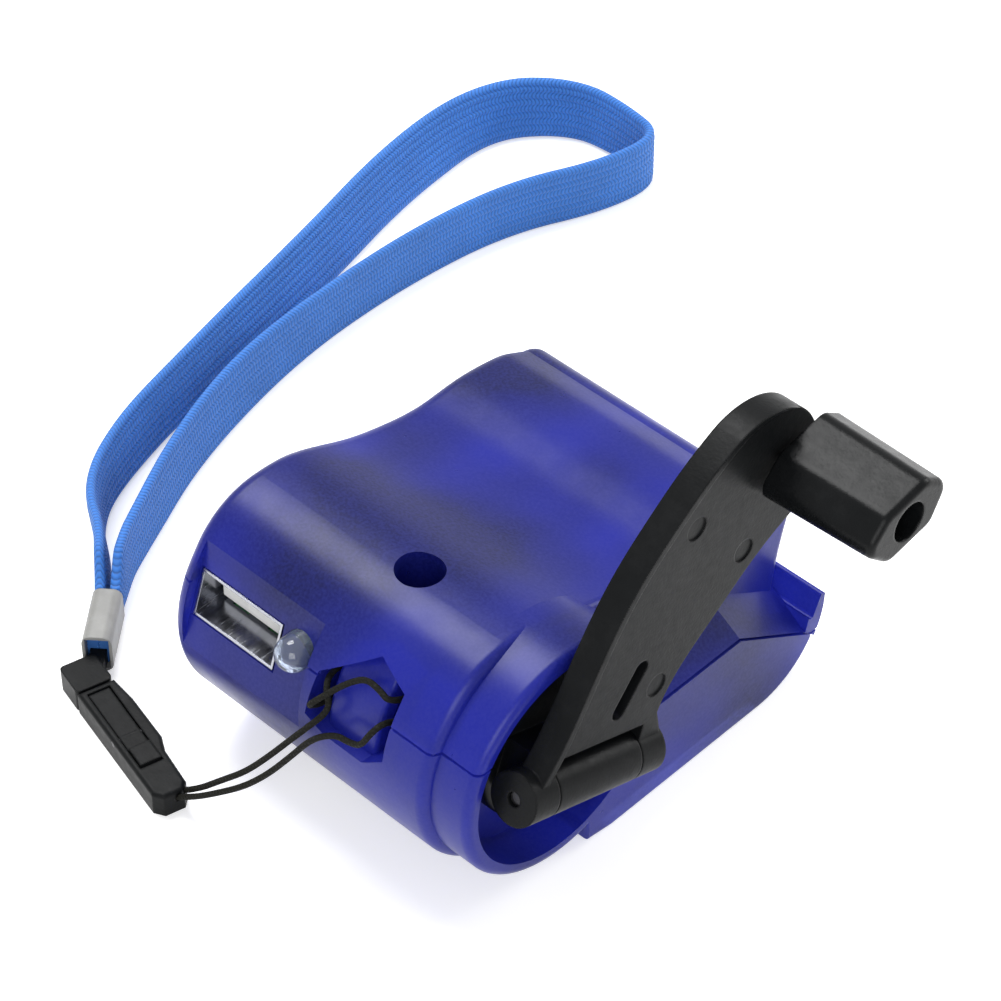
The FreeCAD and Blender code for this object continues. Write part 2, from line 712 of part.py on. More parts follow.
lamp_base = usb_front - 0.4
lamp_back = lamp_base + 3.2
lamp = cylinder(spread("led_radius"), lamp_back - lamp_base, (spread("led_x"), lamp_base, led_z), "y")
dome = doc.addObject("Part::Sphere", "dome")
dome.setExpression("Radius", "dims.led_radius")
place(dome, (spread("led_x"), lamp_base, led_z))
as_node(fuse(lamp, dome), "led_lens")
leads = []
for offset in (-0.64, 0.64):
    run = cylinder(0.25, 2.2, (f"dims.led_x + {offset}", lamp_back, led_z), "y")
    drop = cylinder(0.25, led_z - board_top + 0.4, (f"dims.led_x + {offset}", lamp_back + 2.2, board_top), "z")
    leads.append(fuse(run, drop))
as_node(group(*leads), "led_leads")


def pad_body(label, outline, thickness, plane, offset):
    """A PartDesign body: a closed outline of straight lines, padded by a spreadsheet cell."""
    body = doc.addObject("PartDesign::Body", label)
    sketch = body.newObject("Sketcher::SketchObject", label + "_outline")
    support = [face for face in body.Origin.OriginFeatures if face.Role == plane][0]
    sketch.AttachmentSupport = [(support, "")]
    sketch.MapMode = "FlatFace"
    sketch.AttachmentOffset = Placement(Vector(0, 0, offset), Rotation())
    for start, end in zip(outline, outline[1:] + outline[:1]):
        sketch.addGeometry(Part.LineSegment(Vector(*start, 0), Vector(*end, 0)), False)
    pad = body.newObject("PartDesign::Pad", label + "_pad")
    pad.Profile = sketch
    pad.setExpression("Length", thickness)
    body.Tip = pad
    return body


half_board = size.board_width / 2
board_outline = [
    (board_x - half_board, board_y),
    (board_x + half_board, board_y),
    (board_x + half_board, board_y + size.board_length - 1.5),
    (board_x + half_board - 1.5, board_y + size.board_length),
    (board_x - half_board + 1.5, board_y + size.board_length),
    (board_x - half_board, board_y + size.board_length - 1.5),
]
board_low = board_top - size.board_thickness
board = pad_body("board_blank", board_outline, "dims.board_thickness", "XY_Plane", board_low)
board_holes = [cylinder(0.7, 4, (x, y, board_top - 3), "z") for x, y in board_posts]
as_node(cut(board, *board_holes), "circuit_board")

can = cylinder(2.5, 6.4, (board_x - 4.6, board_y + 17.4, board_top + 0.3), "z")
can_foot = cylinder(2.7, 0.3, (board_x - 4.6, board_y + 17.4, board_top), "z")
can_mark = box(5.4, 0.4, 0.3, (board_x - 4.6, board_y + 17.2, board_top + 6.5))
as_node(cut(fuse(can, can_foot), can_mark), "capacitor")

diodes = []
for place_y in (15.6, 18.2, 20.8, 23.4):
    x, y = board_x + 3.6, board_y + place_y
    bead = cylinder(0.9, 3.6, (x - 1.8, y, board_top + 1.0))
    leads_x = cylinder(0.25, 6.4, (x - 3.2, y, board_top + 1.0))
    legs = [cylinder(0.25, 1.1, (x + offset, y, board_top), "z") for offset in (-2.95, 2.95)]
    diodes.append(fuse(bead, leads_x, *legs))
as_node(group(*diodes), "rectifier_diodes")

chip_x, chip_y = board_x - 4.4, board_y + 23.0
chip = box(4.2, 3.4, 1.3, (chip_x, chip_y - 1.7, board_top + 0.15))
chip_pads = [
    box(0.4, 5.2, 0.35, (chip_x + offset, chip_y - 2.6, board_top))
    for offset in (-1.5, -0.5, 0.5, 1.5)
]
as_node(fuse(chip, *chip_pads), "regulator_chip")

# ---------------------------------------------------------------- gear train

PRESSURE_ANGLE = 20.0
TOOTH_THINNING = 0.03   # taken off each flank
WHEEL_ADDENDUM = 0.75   # shortened tips keep clear of the small pinions' roots
PINION_ADDENDUM = 1.0


def involute(radius, base):
    angle = math.acos(min(1.0, base / radius))
    return math.tan(angle) - angle


def gear_wire(teeth, addendum, tooth_at):
    """Closed outline of a spur gear in the YZ plane, with a tooth in the direction tooth_at."""
    pitch = size.gear_module * teeth / 2
    base = pitch * math.cos(math.radians(PRESSURE_ANGLE))
    tip = pitch + addendum * size.gear_module
    root = pitch - 1.25 * size.gear_module
    start = max(base, root)
    half_tooth = math.pi / 2 / teeth - TOOTH_THINNING / pitch + involute(pitch, base)
    radii = [start + (tip - start) * step / 4 for step in range(5)]

    def point(radius, angle):
        return at_yz(radius * math.cos(angle), radius * math.sin(angle))

    edges = []
    for tooth in range(teeth):
        middle = math.radians(tooth_at) + tooth * 2 * math.pi / teeth
        following = middle + 2 * math.pi / teeth
        rising = [point(radius, middle - half_tooth + involute(radius, base)) for radius in radii]
        falling = [point(radius, middle + half_tooth - involute(radius, base)) for radius in reversed(radii)]
        wide = half_tooth - involute(start, base)
        if base > root:
            edges.append(line(point(root, middle - wide), rising[0]))
        for flank in (rising, falling):
            curve = Part.BSplineCurve()
            curve.interpolate(flank)
            if flank is falling:
                edges.append(arc(rising[-1], point(tip, middle), falling[0]))
            edges.append(curve.toShape())
        if base > root:
            edges.append(line(falling[-1], point(root, middle + wide)))
        edges.append(arc(point(root, middle + wide), point(root, (middle + following) / 2), point(root, following - wide)))
    return Part.Wire(edges)


def gear(teeth, addendum, tooth_at, centre, x_low, x_high):
    body = prism(gear_wire(teeth, addendum, tooth_at), x_low, x_high)
    body.translate(at_yz(*centre))
    return body


def centre_distance(first, second):
    return size.gear_module * (first + second) / 2 + size.mesh_clearance


step_y, step_z = polar(centre_distance(size.drive_teeth, size.idler_small), size.idler_angle)
idler_at = (step_y, step_z)
step_y, step_z = polar(centre_distance(size.idler_large, size.rotor_teeth), size.rotor_angle)
rotor_at = (idler_at[0] + step_y, idler_at[1] + step_z)

gear_x = size.plate_x + size.plate_thickness
drive_x = (gear_x + 4.0, gear_x + 6.0)
small_x = (gear_x + 3.8, gear_x + 6.0)
large_x = (gear_x + 1.4, gear_x + 3.2)
rotor_x = (gear_x + 1.1, gear_x + 3.5)
floor_x = half_width - size.side_step
inner_x = floor_x - size.wall
pin_bore = size.pin_radius + size.running_gap


def through(radius, centre, x_low=-100.0, x_high=100.0):
    return rod(radius, at_yz(*centre, x_low), at_yz(*centre, x_high))


drive_gear = gear(int(size.drive_teeth), WHEEL_ADDENDUM, size.idler_angle, (0, 0), *drive_x)
for spoke in range(6):
    drive_gear = drive_gear.cut(through(2.3, polar(7.4, spoke * 60.0)))
drive_gear = drive_gear.cut(through(size.shaft_radius, (0, 0)))
feature("drive_gear", drive_gear)

idler = gear(
    int(size.idler_small),
    PINION_ADDENDUM,
    size.idler_angle + 180 + 180 / size.idler_small,
    idler_at,
    *small_x,
)
idler = idler.fuse(
    [
        through(2.2, idler_at, large_x[1] - 0.5, small_x[0] + 0.5),
        gear(int(size.idler_large), WHEEL_ADDENDUM, size.rotor_angle, idler_at, *large_x),
        through(2.0, idler_at, gear_x + 0.3, large_x[0] + 0.5),
    ]
)
for spoke in range(5):
    hole_y, hole_z = polar(6.2, spoke * 72.0)
    idler = idler.cut(through(2.0, (idler_at[0] + hole_y, idler_at[1] + hole_z), large_x[0] - 1, large_x[1] + 0.2))
feature("idler_gear", idler.cut(through(pin_bore, idler_at)).removeSplitter())

pinion = gear(
    int(size.rotor_teeth),
    PINION_ADDENDUM,
    size.rotor_angle + 180 + 180 / size.rotor_teeth,
    rotor_at,
    *rotor_x,
)
feature("rotor_pinion", pinion.cut(through(size.pin_radius, rotor_at)))

plate_outline = [
    (0.0, 5.9),
    (12.0, 4.5),
    (rotor_at[0] + 4.0, 4.5),
    (rotor_at[0] + 5.0, -1.0),
    (rotor_at[0] + 3.5, floor_z + size.wall),
    (rest_front + 1.5, floor_z + size.wall),
    (4.2, -8.0),
    (-1.0, -5.8),
]
plate = pad_body("plate_blank", plate_outline, "dims.plate_thickness", "YZ_Plane", size.plate_x)
lobe = cylinder(6.0, spread("plate_thickness"), (spread("plate_x"), 0, 0))
plate_bores = [
    cylinder("dims.shaft_radius + dims.running_gap", 9, (spread("plate_x - 4"), 0, 0)),
    cylinder(spread("pin_radius"), 9, (spread("plate_x - 4"), *idler_at)),
    cylinder(2.4, 9, (spread("plate_x - 4"), *rotor_at)),
    cylinder(1.6, 9, (spread("plate_x - 4"), rest_front + 3.6, -13.2)),
]
as_node(cut(fuse(plate, lobe), *plate_bores), "gear_plate")

bush = cylinder("dims.shaft_radius + 1.2", f"{floor_x} - {inner_x} + 0.2", (inner_x - 0.2, 0, 0))
bush_flange = cylinder("dims.shaft_radius + 2.2", 0.6, (inner_x - 0.6, 0, 0))
bush_bore = cylinder("dims.shaft_radius + dims.running_gap", 9, (inner_x - 4, 0, 0))
as_node(cut(fuse(bush, bush_flange), bush_bore), "shaft_bush")

axle = cylinder(spread("pin_radius"), inner_x - 0.15 - size.plate_x, (size.plate_x, *idler_at))
axle_collar = cylinder(1.9, 0.25, (gear_x, *idler_at))
as_node(fuse(axle, axle_collar), "idler_axle")

# ---------------------------------------------------------------- generator

can_back = size.plate_x - size.generator_length
can_skin = 0.8
cap_thickness = 1.2
cap_x = size.plate_x - cap_thickness
can_tube = cylinder(spread("generator_radius"), cap_x - can_back, (can_back, *rotor_at))
can_space = cylinder(f"dims.generator_radius - {can_skin}", cap_x - can_back, (can_back + can_skin, *rotor_at))
can_bore = cylinder(2.2, 4, (can_back - 1, *rotor_at))
vents = []
for turn in range(4):
    vent_y, vent_z = polar(6.0, 45 + turn * 90)
    vents.append(cylinder(1.3, 4, (can_back - 1, rotor_at[0] + vent_y, rotor_at[1] + vent_z)))
as_node(cut(can_tube, can_space, can_bore, *vents), "generator_can")
cap = cylinder(spread("generator_radius"), cap_thickness, (cap_x, *rotor_at))
as_node(cut(cap, cylinder(2.2, 4, (cap_x - 1, *rotor_at))), "generator_cap")

bushes = []
for low, high in ((can_back - 0.3, can_back + 1.3), (cap_x - 0.5, size.plate_x)):
    ring = cylinder(2.2, high - low, (low, *rotor_at))
    bushes.append(cut(ring, cylinder("dims.pin_radius + dims.running_gap", 6, (low - 1, *rotor_at))))
as_node(group(*bushes), "generator_bushes")

POLES = 6
stator_x = (can_back + 4.6, cap_x - 3.4)
bore_radius = size.generator_radius - can_skin
plates = through(bore_radius, rotor_at, *stator_x)
plates = plates.cut(through(bore_radius - 1.3, rotor_at))
pole_inner = 5.4
magnet_radius = 4.9
for pole in range(POLES):
    arm = block(stator_x, (pole_inner, bore_radius - 1.0), (-1.1, 1.1))
    shoe = block(stator_x, (pole_inner, pole_inner + 0.5), (-1.9, 1.9))
    for piece in (arm, shoe):
        piece.rotate(Vector(), Vector(1, 0, 0), pole * 360 / POLES)
        piece.translate(at_yz(*rotor_at))
        plates = plates.fuse(piece)
plates = plates.cut(through(pole_inner - 0.02, rotor_at))
feature("stator_plates", plates.removeSplitter())
coils = []
for pole in range(POLES):
    coil = block((stator_x[0] - 1.1, stator_x[1] + 1.1), (pole_inner + 0.55, bore_radius - 1.9), (-2.1, 2.1))
    coil = coil.makeFillet(0.5, [edge for edge in coil.Edges if abs(edge.tangentAt(edge.FirstParameter).y) > 0.9])
    coil = coil.cut(block(stator_x, (0, 20), (-1.1, 1.1)))
    coil.rotate(Vector(), Vector(1, 0, 0), pole * 360 / POLES)
    coil.translate(at_yz(*rotor_at))
    coils.append(coil)
feature("stator_coils", Part.makeCompound(coils))

shaft_start = can_back - 0.9
spindle = cylinder(spread("pin_radius"), rotor_x[1] + 0.2 - shaft_start, (shaft_start, *rotor_at))
as_node(group(spindle), "rotor_shaft")
magnet = cylinder(magnet_radius, stator_x[1] - stator_x[0], (stator_x[0], *rotor_at))
as_node(cut(magnet, cylinder(spread("pin_radius"), 60, (-30, *rotor_at))), "rotor_magnet")

# ---------------------------------------------------------------- crank

hinge_x = half_width + size.hinge_lift
hub_low = floor_x + size.hub_gap
hub_high = hub_low + size.hub_thickness
skew = -size.hinge_skew
along_y, along_z = polar(1.0, skew)
hinge_along = at_yz(along_y, along_z)
hinge_across = at_yz(-along_z, along_y)
hinge_middle = at_yz(0, 0, hinge_x) + hinge_along * -0.6
half_barrel = size.barrel_length / 2
ear_start = half_barrel + size.ear_gap
ear_end = ear_start + size.ear_width


def hinge_rod(radius, start, end):
    return rod(radius, hinge_middle + hinge_along * start, hinge_middle + hinge_along * end)


def hinge_block(x_range, along, across):
    """A block laid out along and across the hinge pin."""
    made = block(x_range, along, across)
    made.translate(Vector(0, -0.6, 0))
    made.rotate(Vector(), Vector(1, 0, 0), skew)
    return made


hub = through(size.hub_radius, (0, 0), hub_low, hub_high)
hub = hub.makeFillet(0.5, [edge for edge in hub.Edges if near_vertical_end(edge, hub_high)])
hub = hub.fuse(
    [
        hinge_block((hub_high - 0.5, hinge_x), (-half_barrel, half_barrel), (-size.hinge_radius, size.hinge_radius)),
        hinge_rod(size.hinge_radius, -half_barrel, half_barrel),
    ]
)
hub = hub.cut(hinge_rod(size.hinge_pin_radius, -20, 20))
hub = hub.cut(through(size.shaft_radius, (0, 0), hub_low - 1, hub_high - 0.3))
feature("crank_hub", hub.removeSplitter(), turned=True)
shaft_end = size.plate_x - 1.0
shaft = through(size.shaft_radius, (0, 0), shaft_end, hub_high - 0.3)
feature("crank_shaft", shaft, turned=True)
PIN_SINK = 0.5   # each end of the hinge pin below the ear's face
feature("hinge_pin", hinge_rod(size.hinge_pin_radius, PIN_SINK - ear_end, ear_end - PIN_SINK), turned=True)

arm_low = half_width + 1.3
arm_high = arm_low + size.arm_thickness
tip_at = (size.crank_radius - 5.8, 3.6)


def stretched(points):
    """Arm outline points, stretched along the arm beyond the hub with the crank radius."""
    scale = (size.crank_radius - 12.0) / 30.2
    return [at_yz(u if u < 12.0 else 12.0 + (u - 12.0) * scale, v) for u, v in points]


def arm_outline():
    start_y, start_z = polar(size.arm_tip_radius, 68.0)
    over_y, over_z = polar(size.arm_tip_radius, -11.5)
    end_y, end_z = polar(size.arm_tip_radius, -91.0)
    tip_start = at_yz(tip_at[0] + start_y, tip_at[1] + start_z)
    tip_end = at_yz(tip_at[0] + end_y, tip_at[1] + end_z)
    reach = ear_end + 0.6
    heel_left = hinge_along * -reach
    heel_right = hinge_along * (ear_end - 0.6)
    left = Part.BSplineCurve()
    left.interpolate(
        [heel_left] + stretched([(5, 11.6), (11.9, 13.6), (21.8, 15.4), (27.7, 15.3), (33.3, 14.8)]) + [tip_start]
    )
    right = Part.BSplineCurve()
    neck = at_yz(9.4, -4.6)
    right.interpolate([tip_end] + stretched([(31.4, -5.3), (21.6, -4.0), (12.6, -3.7)]) + [neck])
    corner = at_yz(7.6, -7.4)
    return Part.Wire(
        [
            left.toShape(),
            arc(tip_start, at_yz(tip_at[0] + over_y, tip_at[1] + over_z), tip_end),
            right.toShape(),
            line(neck, corner),
            line(corner, heel_right),
            line(heel_right, heel_left),
        ]
    )


def make_arm():
    outline = arm_outline()
    arm = prism(outline, arm_low, arm_high)
    lowered = prism(outline, arm_high - 0.5, arm_high + 1)
    lowered.translate(at_yz(0.25, -1.0))
    arm = arm.cut(lowered)
    for low, high in ((-ear_end, -ear_start), (ear_start, ear_end)):
        arm = arm.fuse(hinge_rod(size.hinge_radius, low, high))
    clear = size.hinge_radius + 1.7
    arm = arm.cut(hinge_block((arm_low - 3, arm_high + 3), (-ear_start, ear_start), (-clear, clear)))
    arm = arm.cut(hinge_rod(size.hinge_pin_radius + size.running_gap, -20, 20))
    slot_low, slot_high = at_yz(7.9, 3.4), at_yz(13.2, 4.2)
    for centre in (slot_low, slot_high):
        arm = arm.cut(through(1.1, (centre.y, centre.z)))
    mid = (slot_low + slot_high) * 0.5
    span = slot_high - slot_low
    slot = block((0, 60), (-span.Length / 2, span.Length / 2), (-1.1, 1.1))
    slot.rotate(Vector(), Vector(1, 0, 0), math.degrees(math.atan2(span.z, span.y)))
    slot.translate(at_yz(mid.y, mid.z))
    arm = arm.cut(slot)
    for u, v in ((29.7, 10.4), (29.9, -1.8), (12.2, -0.9)):
        arm = arm.cut(through(1.5, (u, v), arm_high - 0.7, arm_high + 1))
    screw_bore = through(1.5, (size.crank_radius, 0), arm_low + 0.8, arm_high + 1)
    return arm.cut(screw_bore).removeSplitter()


feature("crank_arm", make_arm(), turned=True)

knob_low = arm_high + size.knob_gap
knob_high = knob_low + size.knob_length
shoulder = knob_low + 9.0
shank = through(2.0, (size.crank_radius, 0), arm_high, shoulder + 0.1)
thread = through(1.5, (size.crank_radius, 0), arm_low + 1.0, arm_high)
head = through(2.4, (size.crank_radius, 0), shoulder + 0.1, shoulder + 1.9)
knob_screw = shank.fuse([thread, head])
for turn in (0, 90):
    slot = block((shoulder + 1.2, shoulder + 3), (-1.5, 1.5), (-0.3, 0.3))
    slot.rotate(Vector(), Vector(1, 0, 0), turn)
    slot.translate(at_yz(size.crank_radius, 0))
    knob_screw = knob_screw.cut(slot)
feature("knob_screw", knob_screw.removeSplitter(), turned=True)


def rounded_polygon(corners, radius, x):
    """A closed wire through corners in the YZ plane, each corner rounded."""
    edges = []
    count = len(corners)
    ends = []
    for index in range(count):
        here = at_yz(*corners[index], x)
        before = (at_yz(*corners[index - 1], x) - here).normalize()
        after = (at_yz(*corners[(index + 1) % count], x) - here).normalize()
        half = before.getAngle(after) / 2
        reach = radius / math.tan(half)
        centre = here + (before + after).normalize() * (radius / math.sin(half))
        middle = centre + (here - centre).normalize() * radius
        ends.append((here + before * reach, middle, here + after * reach))
    for index in range(count):
        edges.append(arc(*ends[index]))
        edges.append(line(ends[index][2], ends[(index + 1) % count][0]))
    return Part.Wire(edges)


def make_knob():
    wide = size.knob_width / 13.2
    thick = size.knob_thickness / 8.0
    lean = math.radians(8.0 - size.crank_angle)
    section = [(-6.9, 0.4), (-3.2, 3.3), (3.3, 3.6), (6.7, 0.6), (3.6, -3.5), (-3.4, -3.7)]
    turned = []
    for y, z in section:
        y, z = y * wide, z * thick
        turned.append((y * math.cos(lean) - z * math.sin(lean), y * math.sin(lean) + z * math.cos(lean)))
    slim = [(y * 0.94, z * 0.94) for y, z in turned]
    knob = Part.makeLoft(
        [rounded_polygon(turned, 2.1, knob_low), rounded_polygon(slim, 2.0, knob_high)],
        True,
        True,
    )
    knob = knob.makeFillet(0.8, [edge for edge in knob.Edges if near_vertical_end(edge, knob_high)])
    knob.translate(at_yz(size.crank_radius, 0))
    knob = knob.cut(through(2.0 + size.running_gap, (size.crank_radius, 0)))
    return knob.cut(through(2.5, (size.crank_radius, 0), shoulder, knob_high + 1))


feature("crank_knob", make_knob(), turned=True)

# ---------------------------------------------------------------- cords

def rounded_route(points):
    """Straight runs through points, joined by tangent arcs: a list of edges and the arcs' radii."""
    runs = [(second - first).Length for first, second in zip(points, points[1:])]
    edges = []
    radii = []
    start = points[0]
    for index in range(1, len(points) - 1):
        here = points[index]
        into = (here - points[index - 1]).normalize()
        out = (points[index + 1] - here).normalize()
        turn = into.getAngle(out)
        reach = 0.45 * min(runs[index - 1], runs[index])
        radius = reach / math.tan(turn / 2)
        entry = here - into * reach
        leave = here + out * reach
        centre_way = (out - into).normalize()
        centre = here + centre_way * (radius / math.cos(turn / 2))
        middle = centre - centre_way * radius
        edges.append(line(start, entry))
        edges.append(arc(entry, middle, leave))
        radii.append(radius)
        start = leave
    edges.append(line(start, points[-1]))
    return edges, radii


def report_route(name, edges, radii, section, shape):
    length = sum(edge.Length for edge in edges)
    print(f"{name}: length {length:.2f}, smallest radius {min(radii):.2f}, "
          f"volume {shape.Volume:.2f} against {section * length:.2f}")


def tube(name, points, radius):
    edges, radii = rounded_route(points)
    wire = Part.Wire(edges)
    into = (points[1] - points[0]).normalize()
    profile = Part.Wire([Part.makeCircle(radius, points[0], into)])
    shape = wire.makePipeShell([profile], True, True)
    report_route(name, edges, radii, math.pi * radius * radius, shape)
    return shape


wire_radius = 0.45
wire_y = rotor_at[0] - 5.0
wire_z = rotor_at[1] + 4.6
board_end = board_y + size.board_length
supply_wires = []
for index, wire_x in enumerate((board_x - 1.4, board_x - 0.3)):
    vent_y, vent_z = polar(6.0, 135 - index * 90)
    start = Vector(can_back + 2.6, rotor_at[0] + vent_y, rotor_at[1] + vent_z)
    lift = board_top + 2.4 + index * 1.2
    route = [
        start,
        Vector(can_back - 2.4 - 1.3 * index, rotor_at[0] + vent_y, rotor_at[1] + vent_z),
        Vector(can_back - 3.4 - 1.6 * index, rotor_at[0] + vent_y - 2.5, lift),
        Vector(wire_x + 0.4, board_end - 1.6, lift - 0.4),
        Vector(wire_x, board_end - 4.4, board_top + 0.5),
    ]
    supply_wires.append(tube(f"supply wire {index + 1}", route, wire_radius))
feature("generator_wires", Part.makeCompound(supply_wires))

# strap cord: from the buckle up to the casing, twice round the strap bar, and back
cord_radius = size.cord_diameter / 2
CORD_ROUTE = [
    (-16.5, -24.0, floor_z + 1.2),
    (-12.9, -23.85, floor_z + 4.0),
    (-9.06, -22.9, -10.46),
    (-6.19, -21.8, -7.76),
    (-3.41, -20.6, -4.06),
    (-0.84, -19.4, -0.24),
    (1.0, -18.2, 2.4),
    (2.7, -16.3, 5.0),
    (1.3, -15.6, 6.8),
    (0.15, -13.8, 7.2),
    (0.12, -9.9, 7.0),
    (4.8, -9.5, 7.2),
    (9.9, -9.6, 7.6),
    (9.7, -13.9, 9.4),
    (8.1, -13.9, 10.4),
    (6.0, -13.9, 10.6),
    (3.9, -15.0, 9.0),
    (1.9, -16.7, 6.8),
    (0.0, -17.5, 4.4),
    (-0.1, -15.0, 2.9),
    (0.0, -12.0, 2.8),
    (4.8, -11.6, 3.2),
    (9.6, -11.4, 4.4),
    (9.9, -14.8, 7.2),
    (9.4, -16.6, 6.4),
    (8.5, -17.3, 4.2),
    (6.6, -17.2, 3.2),
    (4.6, -17.5, 3.3),
    (2.3, -18.9, 2.0),
    (-0.21, -20.1, -2.02),
    (-2.78, -21.3, -5.88),
    (-5.53, -22.5, -9.07),
    (-8.26, -23.7, -11.25),
    (-12.4, -24.9, floor_z + 3.9),
    (-16.2, -25.0, floor_z + 1.2),
]
strap_cord = tube("strap_cord", [Vector(*point) for point in CORD_ROUTE], cord_radius)
feature("strap_cord", strap_cord)

# ---------------------------------------------------------------- buckle and wrist strap

buckle_way = Vector(0.968, -0.25, 0).normalize()
buckle_side = Vector(-buckle_way.y, buckle_way.x, 0)
buckle_at = Vector(-24.5, -23.1, floor_z)
PIVOT_HEIGHT = 2.75
buckle_turn = math.degrees(math.atan2(buckle_way.y, buckle_way.x))
half_buckle = size.buckle_length / 2


def buckle_block(along, side, height):
    """A block laid out along the buckle, across it and above the floor."""
    made = block(along, side, height)
    made.rotate(Vector(), Vector(0, 0, 1), buckle_turn)
    made.translate(buckle_at)
    return made


def buckle_rod(radius, along, side, height, towards="z", length=20.0):
    """A rod that starts at a place of the buckle and runs along its side or upwards."""
    start = buckle_at + buckle_way * along + buckle_side * side + Vector(0, 0, height)
    way = {"z": Vector(0, 0, 1), "side": buckle_side, "along": buckle_way}[towards]
    return rod(radius, start, start + way * length)


def make_buckle():
    half = size.buckle_width / 2
    outline = [
        (-half_buckle, -half + 0.2),
        (half_buckle - 1.2, -half + 0.4),
        (half_buckle, -half + 1.4),
        (half_buckle, half - 1.2),
        (half_buckle - 1.0, half - 0.4),
        (half_buckle - 6.6, half - 0.2),
        (half_buckle - 8.8, half + 0.5),
        (-half_buckle + 4.0, half + 0.4),
        (-half_buckle, half - 0.1),
    ]
    corners = [Vector(along, side, 0.05) for along, side in outline]
    body = Part.Face(Part.makePolygon(corners + corners[:1])).extrude(Vector(0, 0, size.buckle_height))
    top = [edge for edge in body.Edges if all(v.Z > size.buckle_height for v in edge.Vertexes)]
    body = body.makeFillet(0.5, top)
    body.rotate(Vector(), Vector(0, 0, 1), buckle_turn)
    body.translate(buckle_at)
    body = body.cut(buckle_block((-half_buckle - 1, -half_buckle + 9.6), (-1.35, 1.35), (0.8, 2.15)))
    body = body.cut(buckle_block((-9.2, 4.7), (-1.5, 1.5), (2.1, 6.0)))
    body = body.cut(buckle_rod(0.4, -1.0, -half - 1, PIVOT_HEIGHT, "side", size.buckle_width + 3))
    return body


buckle = make_buckle()
buckle = buckle.cut(tube("cord holes", [Vector(*point) for point in CORD_ROUTE[:3]], cord_radius + 0.05))
buckle = buckle.cut(tube("cord holes", [Vector(*point) for point in CORD_ROUTE[:-4:-1]], cord_radius + 0.05))
feature("buckle_body", buckle.removeSplitter())

lever = buckle_block((-9.0, 4.5), (-1.35, 1.35), (2.3, 3.3))
lever = lever.fuse(buckle_block((1.4, 4.5), (-1.35, 1.35), (3.1, 3.8)))
lever = lever.cut(buckle_block((0.2, 6.0), (-3, 3), (1.5, PIVOT_HEIGHT)))
lever = lever.fuse(buckle_rod(0.6, -1.0, -1.35, PIVOT_HEIGHT, "side", 2.7))
lever = lever.cut(buckle_rod(0.4 + size.running_gap, -1.0, -6, PIVOT_HEIGHT, "side", 12))
feature("release_tongue", lever.removeSplitter())
feature("tongue_pin", buckle_rod(0.4, -1.0, -size.buckle_width / 2 + 0.3, PIVOT_HEIGHT, "side", size.buckle_width - 0.4))

socket = buckle_block((-half_buckle - 5.0, -half_buckle - 0.15), (-2.4, 2.4), (0.1, 3.4))
socket = socket.makeFillet(0.6, [edge for edge in socket.Edges if abs(edge.tangentAt(edge.FirstParameter).z) > 0.9])
socket = socket.fuse(buckle_block((-half_buckle - 1.0, -half_buckle + 9.2), (-1.25, 1.25), (0.9, 1.95)))
strap_way = Vector(-0.635, 0.772, 0).normalize()
strap_side = Vector(strap_way.y, -strap_way.x, 0)
crimp_at = Vector(-37.05, -18.2, floor_z)
strap_turn = math.degrees(math.atan2(strap_way.y, strap_way.x))


def strap_block(along, side, height):
    """A block laid out along the crimp, across it and above the floor."""
    made = block(along, side, height)
    made.rotate(Vector(), Vector(0, 0, 1), strap_turn)
    made.translate(crimp_at)
    return made


socket = socket.fuse(strap_block((-2.2, 2.9), (-1.0, 1.0), (1.0, 3.0)))
feature("buckle_socket", socket.removeSplitter())

CRIMP_LENGTH = 10.4
half_crimp = size.band_thickness + 0.45
crimp = strap_block((2.0, CRIMP_LENGTH), (-half_crimp, half_crimp), (0.15, 5.75))
crimp = crimp.makeFillet(1.2, [edge for edge in crimp.Edges if abs(edge.tangentAt(edge.FirstParameter).dot(strap_way)) > 0.9])
inner_crimp = size.band_thickness + 0.06
crimp = crimp.cut(strap_block((-1, CRIMP_LENGTH + 1), (-inner_crimp, inner_crimp), (0.6, 5.3)))
feature("strap_crimp", crimp)

band_offset = size.band_thickness / 2 + 0.03
strand_start = 3.0


def strap_point(along, side):
    made = crimp_at + strap_way * along + strap_side * side
    return (made.x, made.y)


BAND_ROUTE = [
    strap_point(strand_start, -band_offset),
    strap_point(CRIMP_LENGTH + 5.4, -band_offset),
    (-57.6, -1.0),
    (-63.0, 10.5),
    (-67.0, 28.0),
    (-71.5, 50.0),
    (-77.8, 74.0),
    (-78.6, 92.0),
    (-70.0, 101.3),
    (-60.0, 101.8),
    (-53.4, 100.8),
    (-54.6, 91.0),
    (-60.8, 78.0),
    (-63.0, 62.0),
    (-62.9, 45.0),
    (-61.0, 29.5),
    (-56.5, 14.5),
    (-49.8, 0.8),
    strap_point(CRIMP_LENGTH + 5.4, band_offset),
    strap_point(strand_start, band_offset),
]


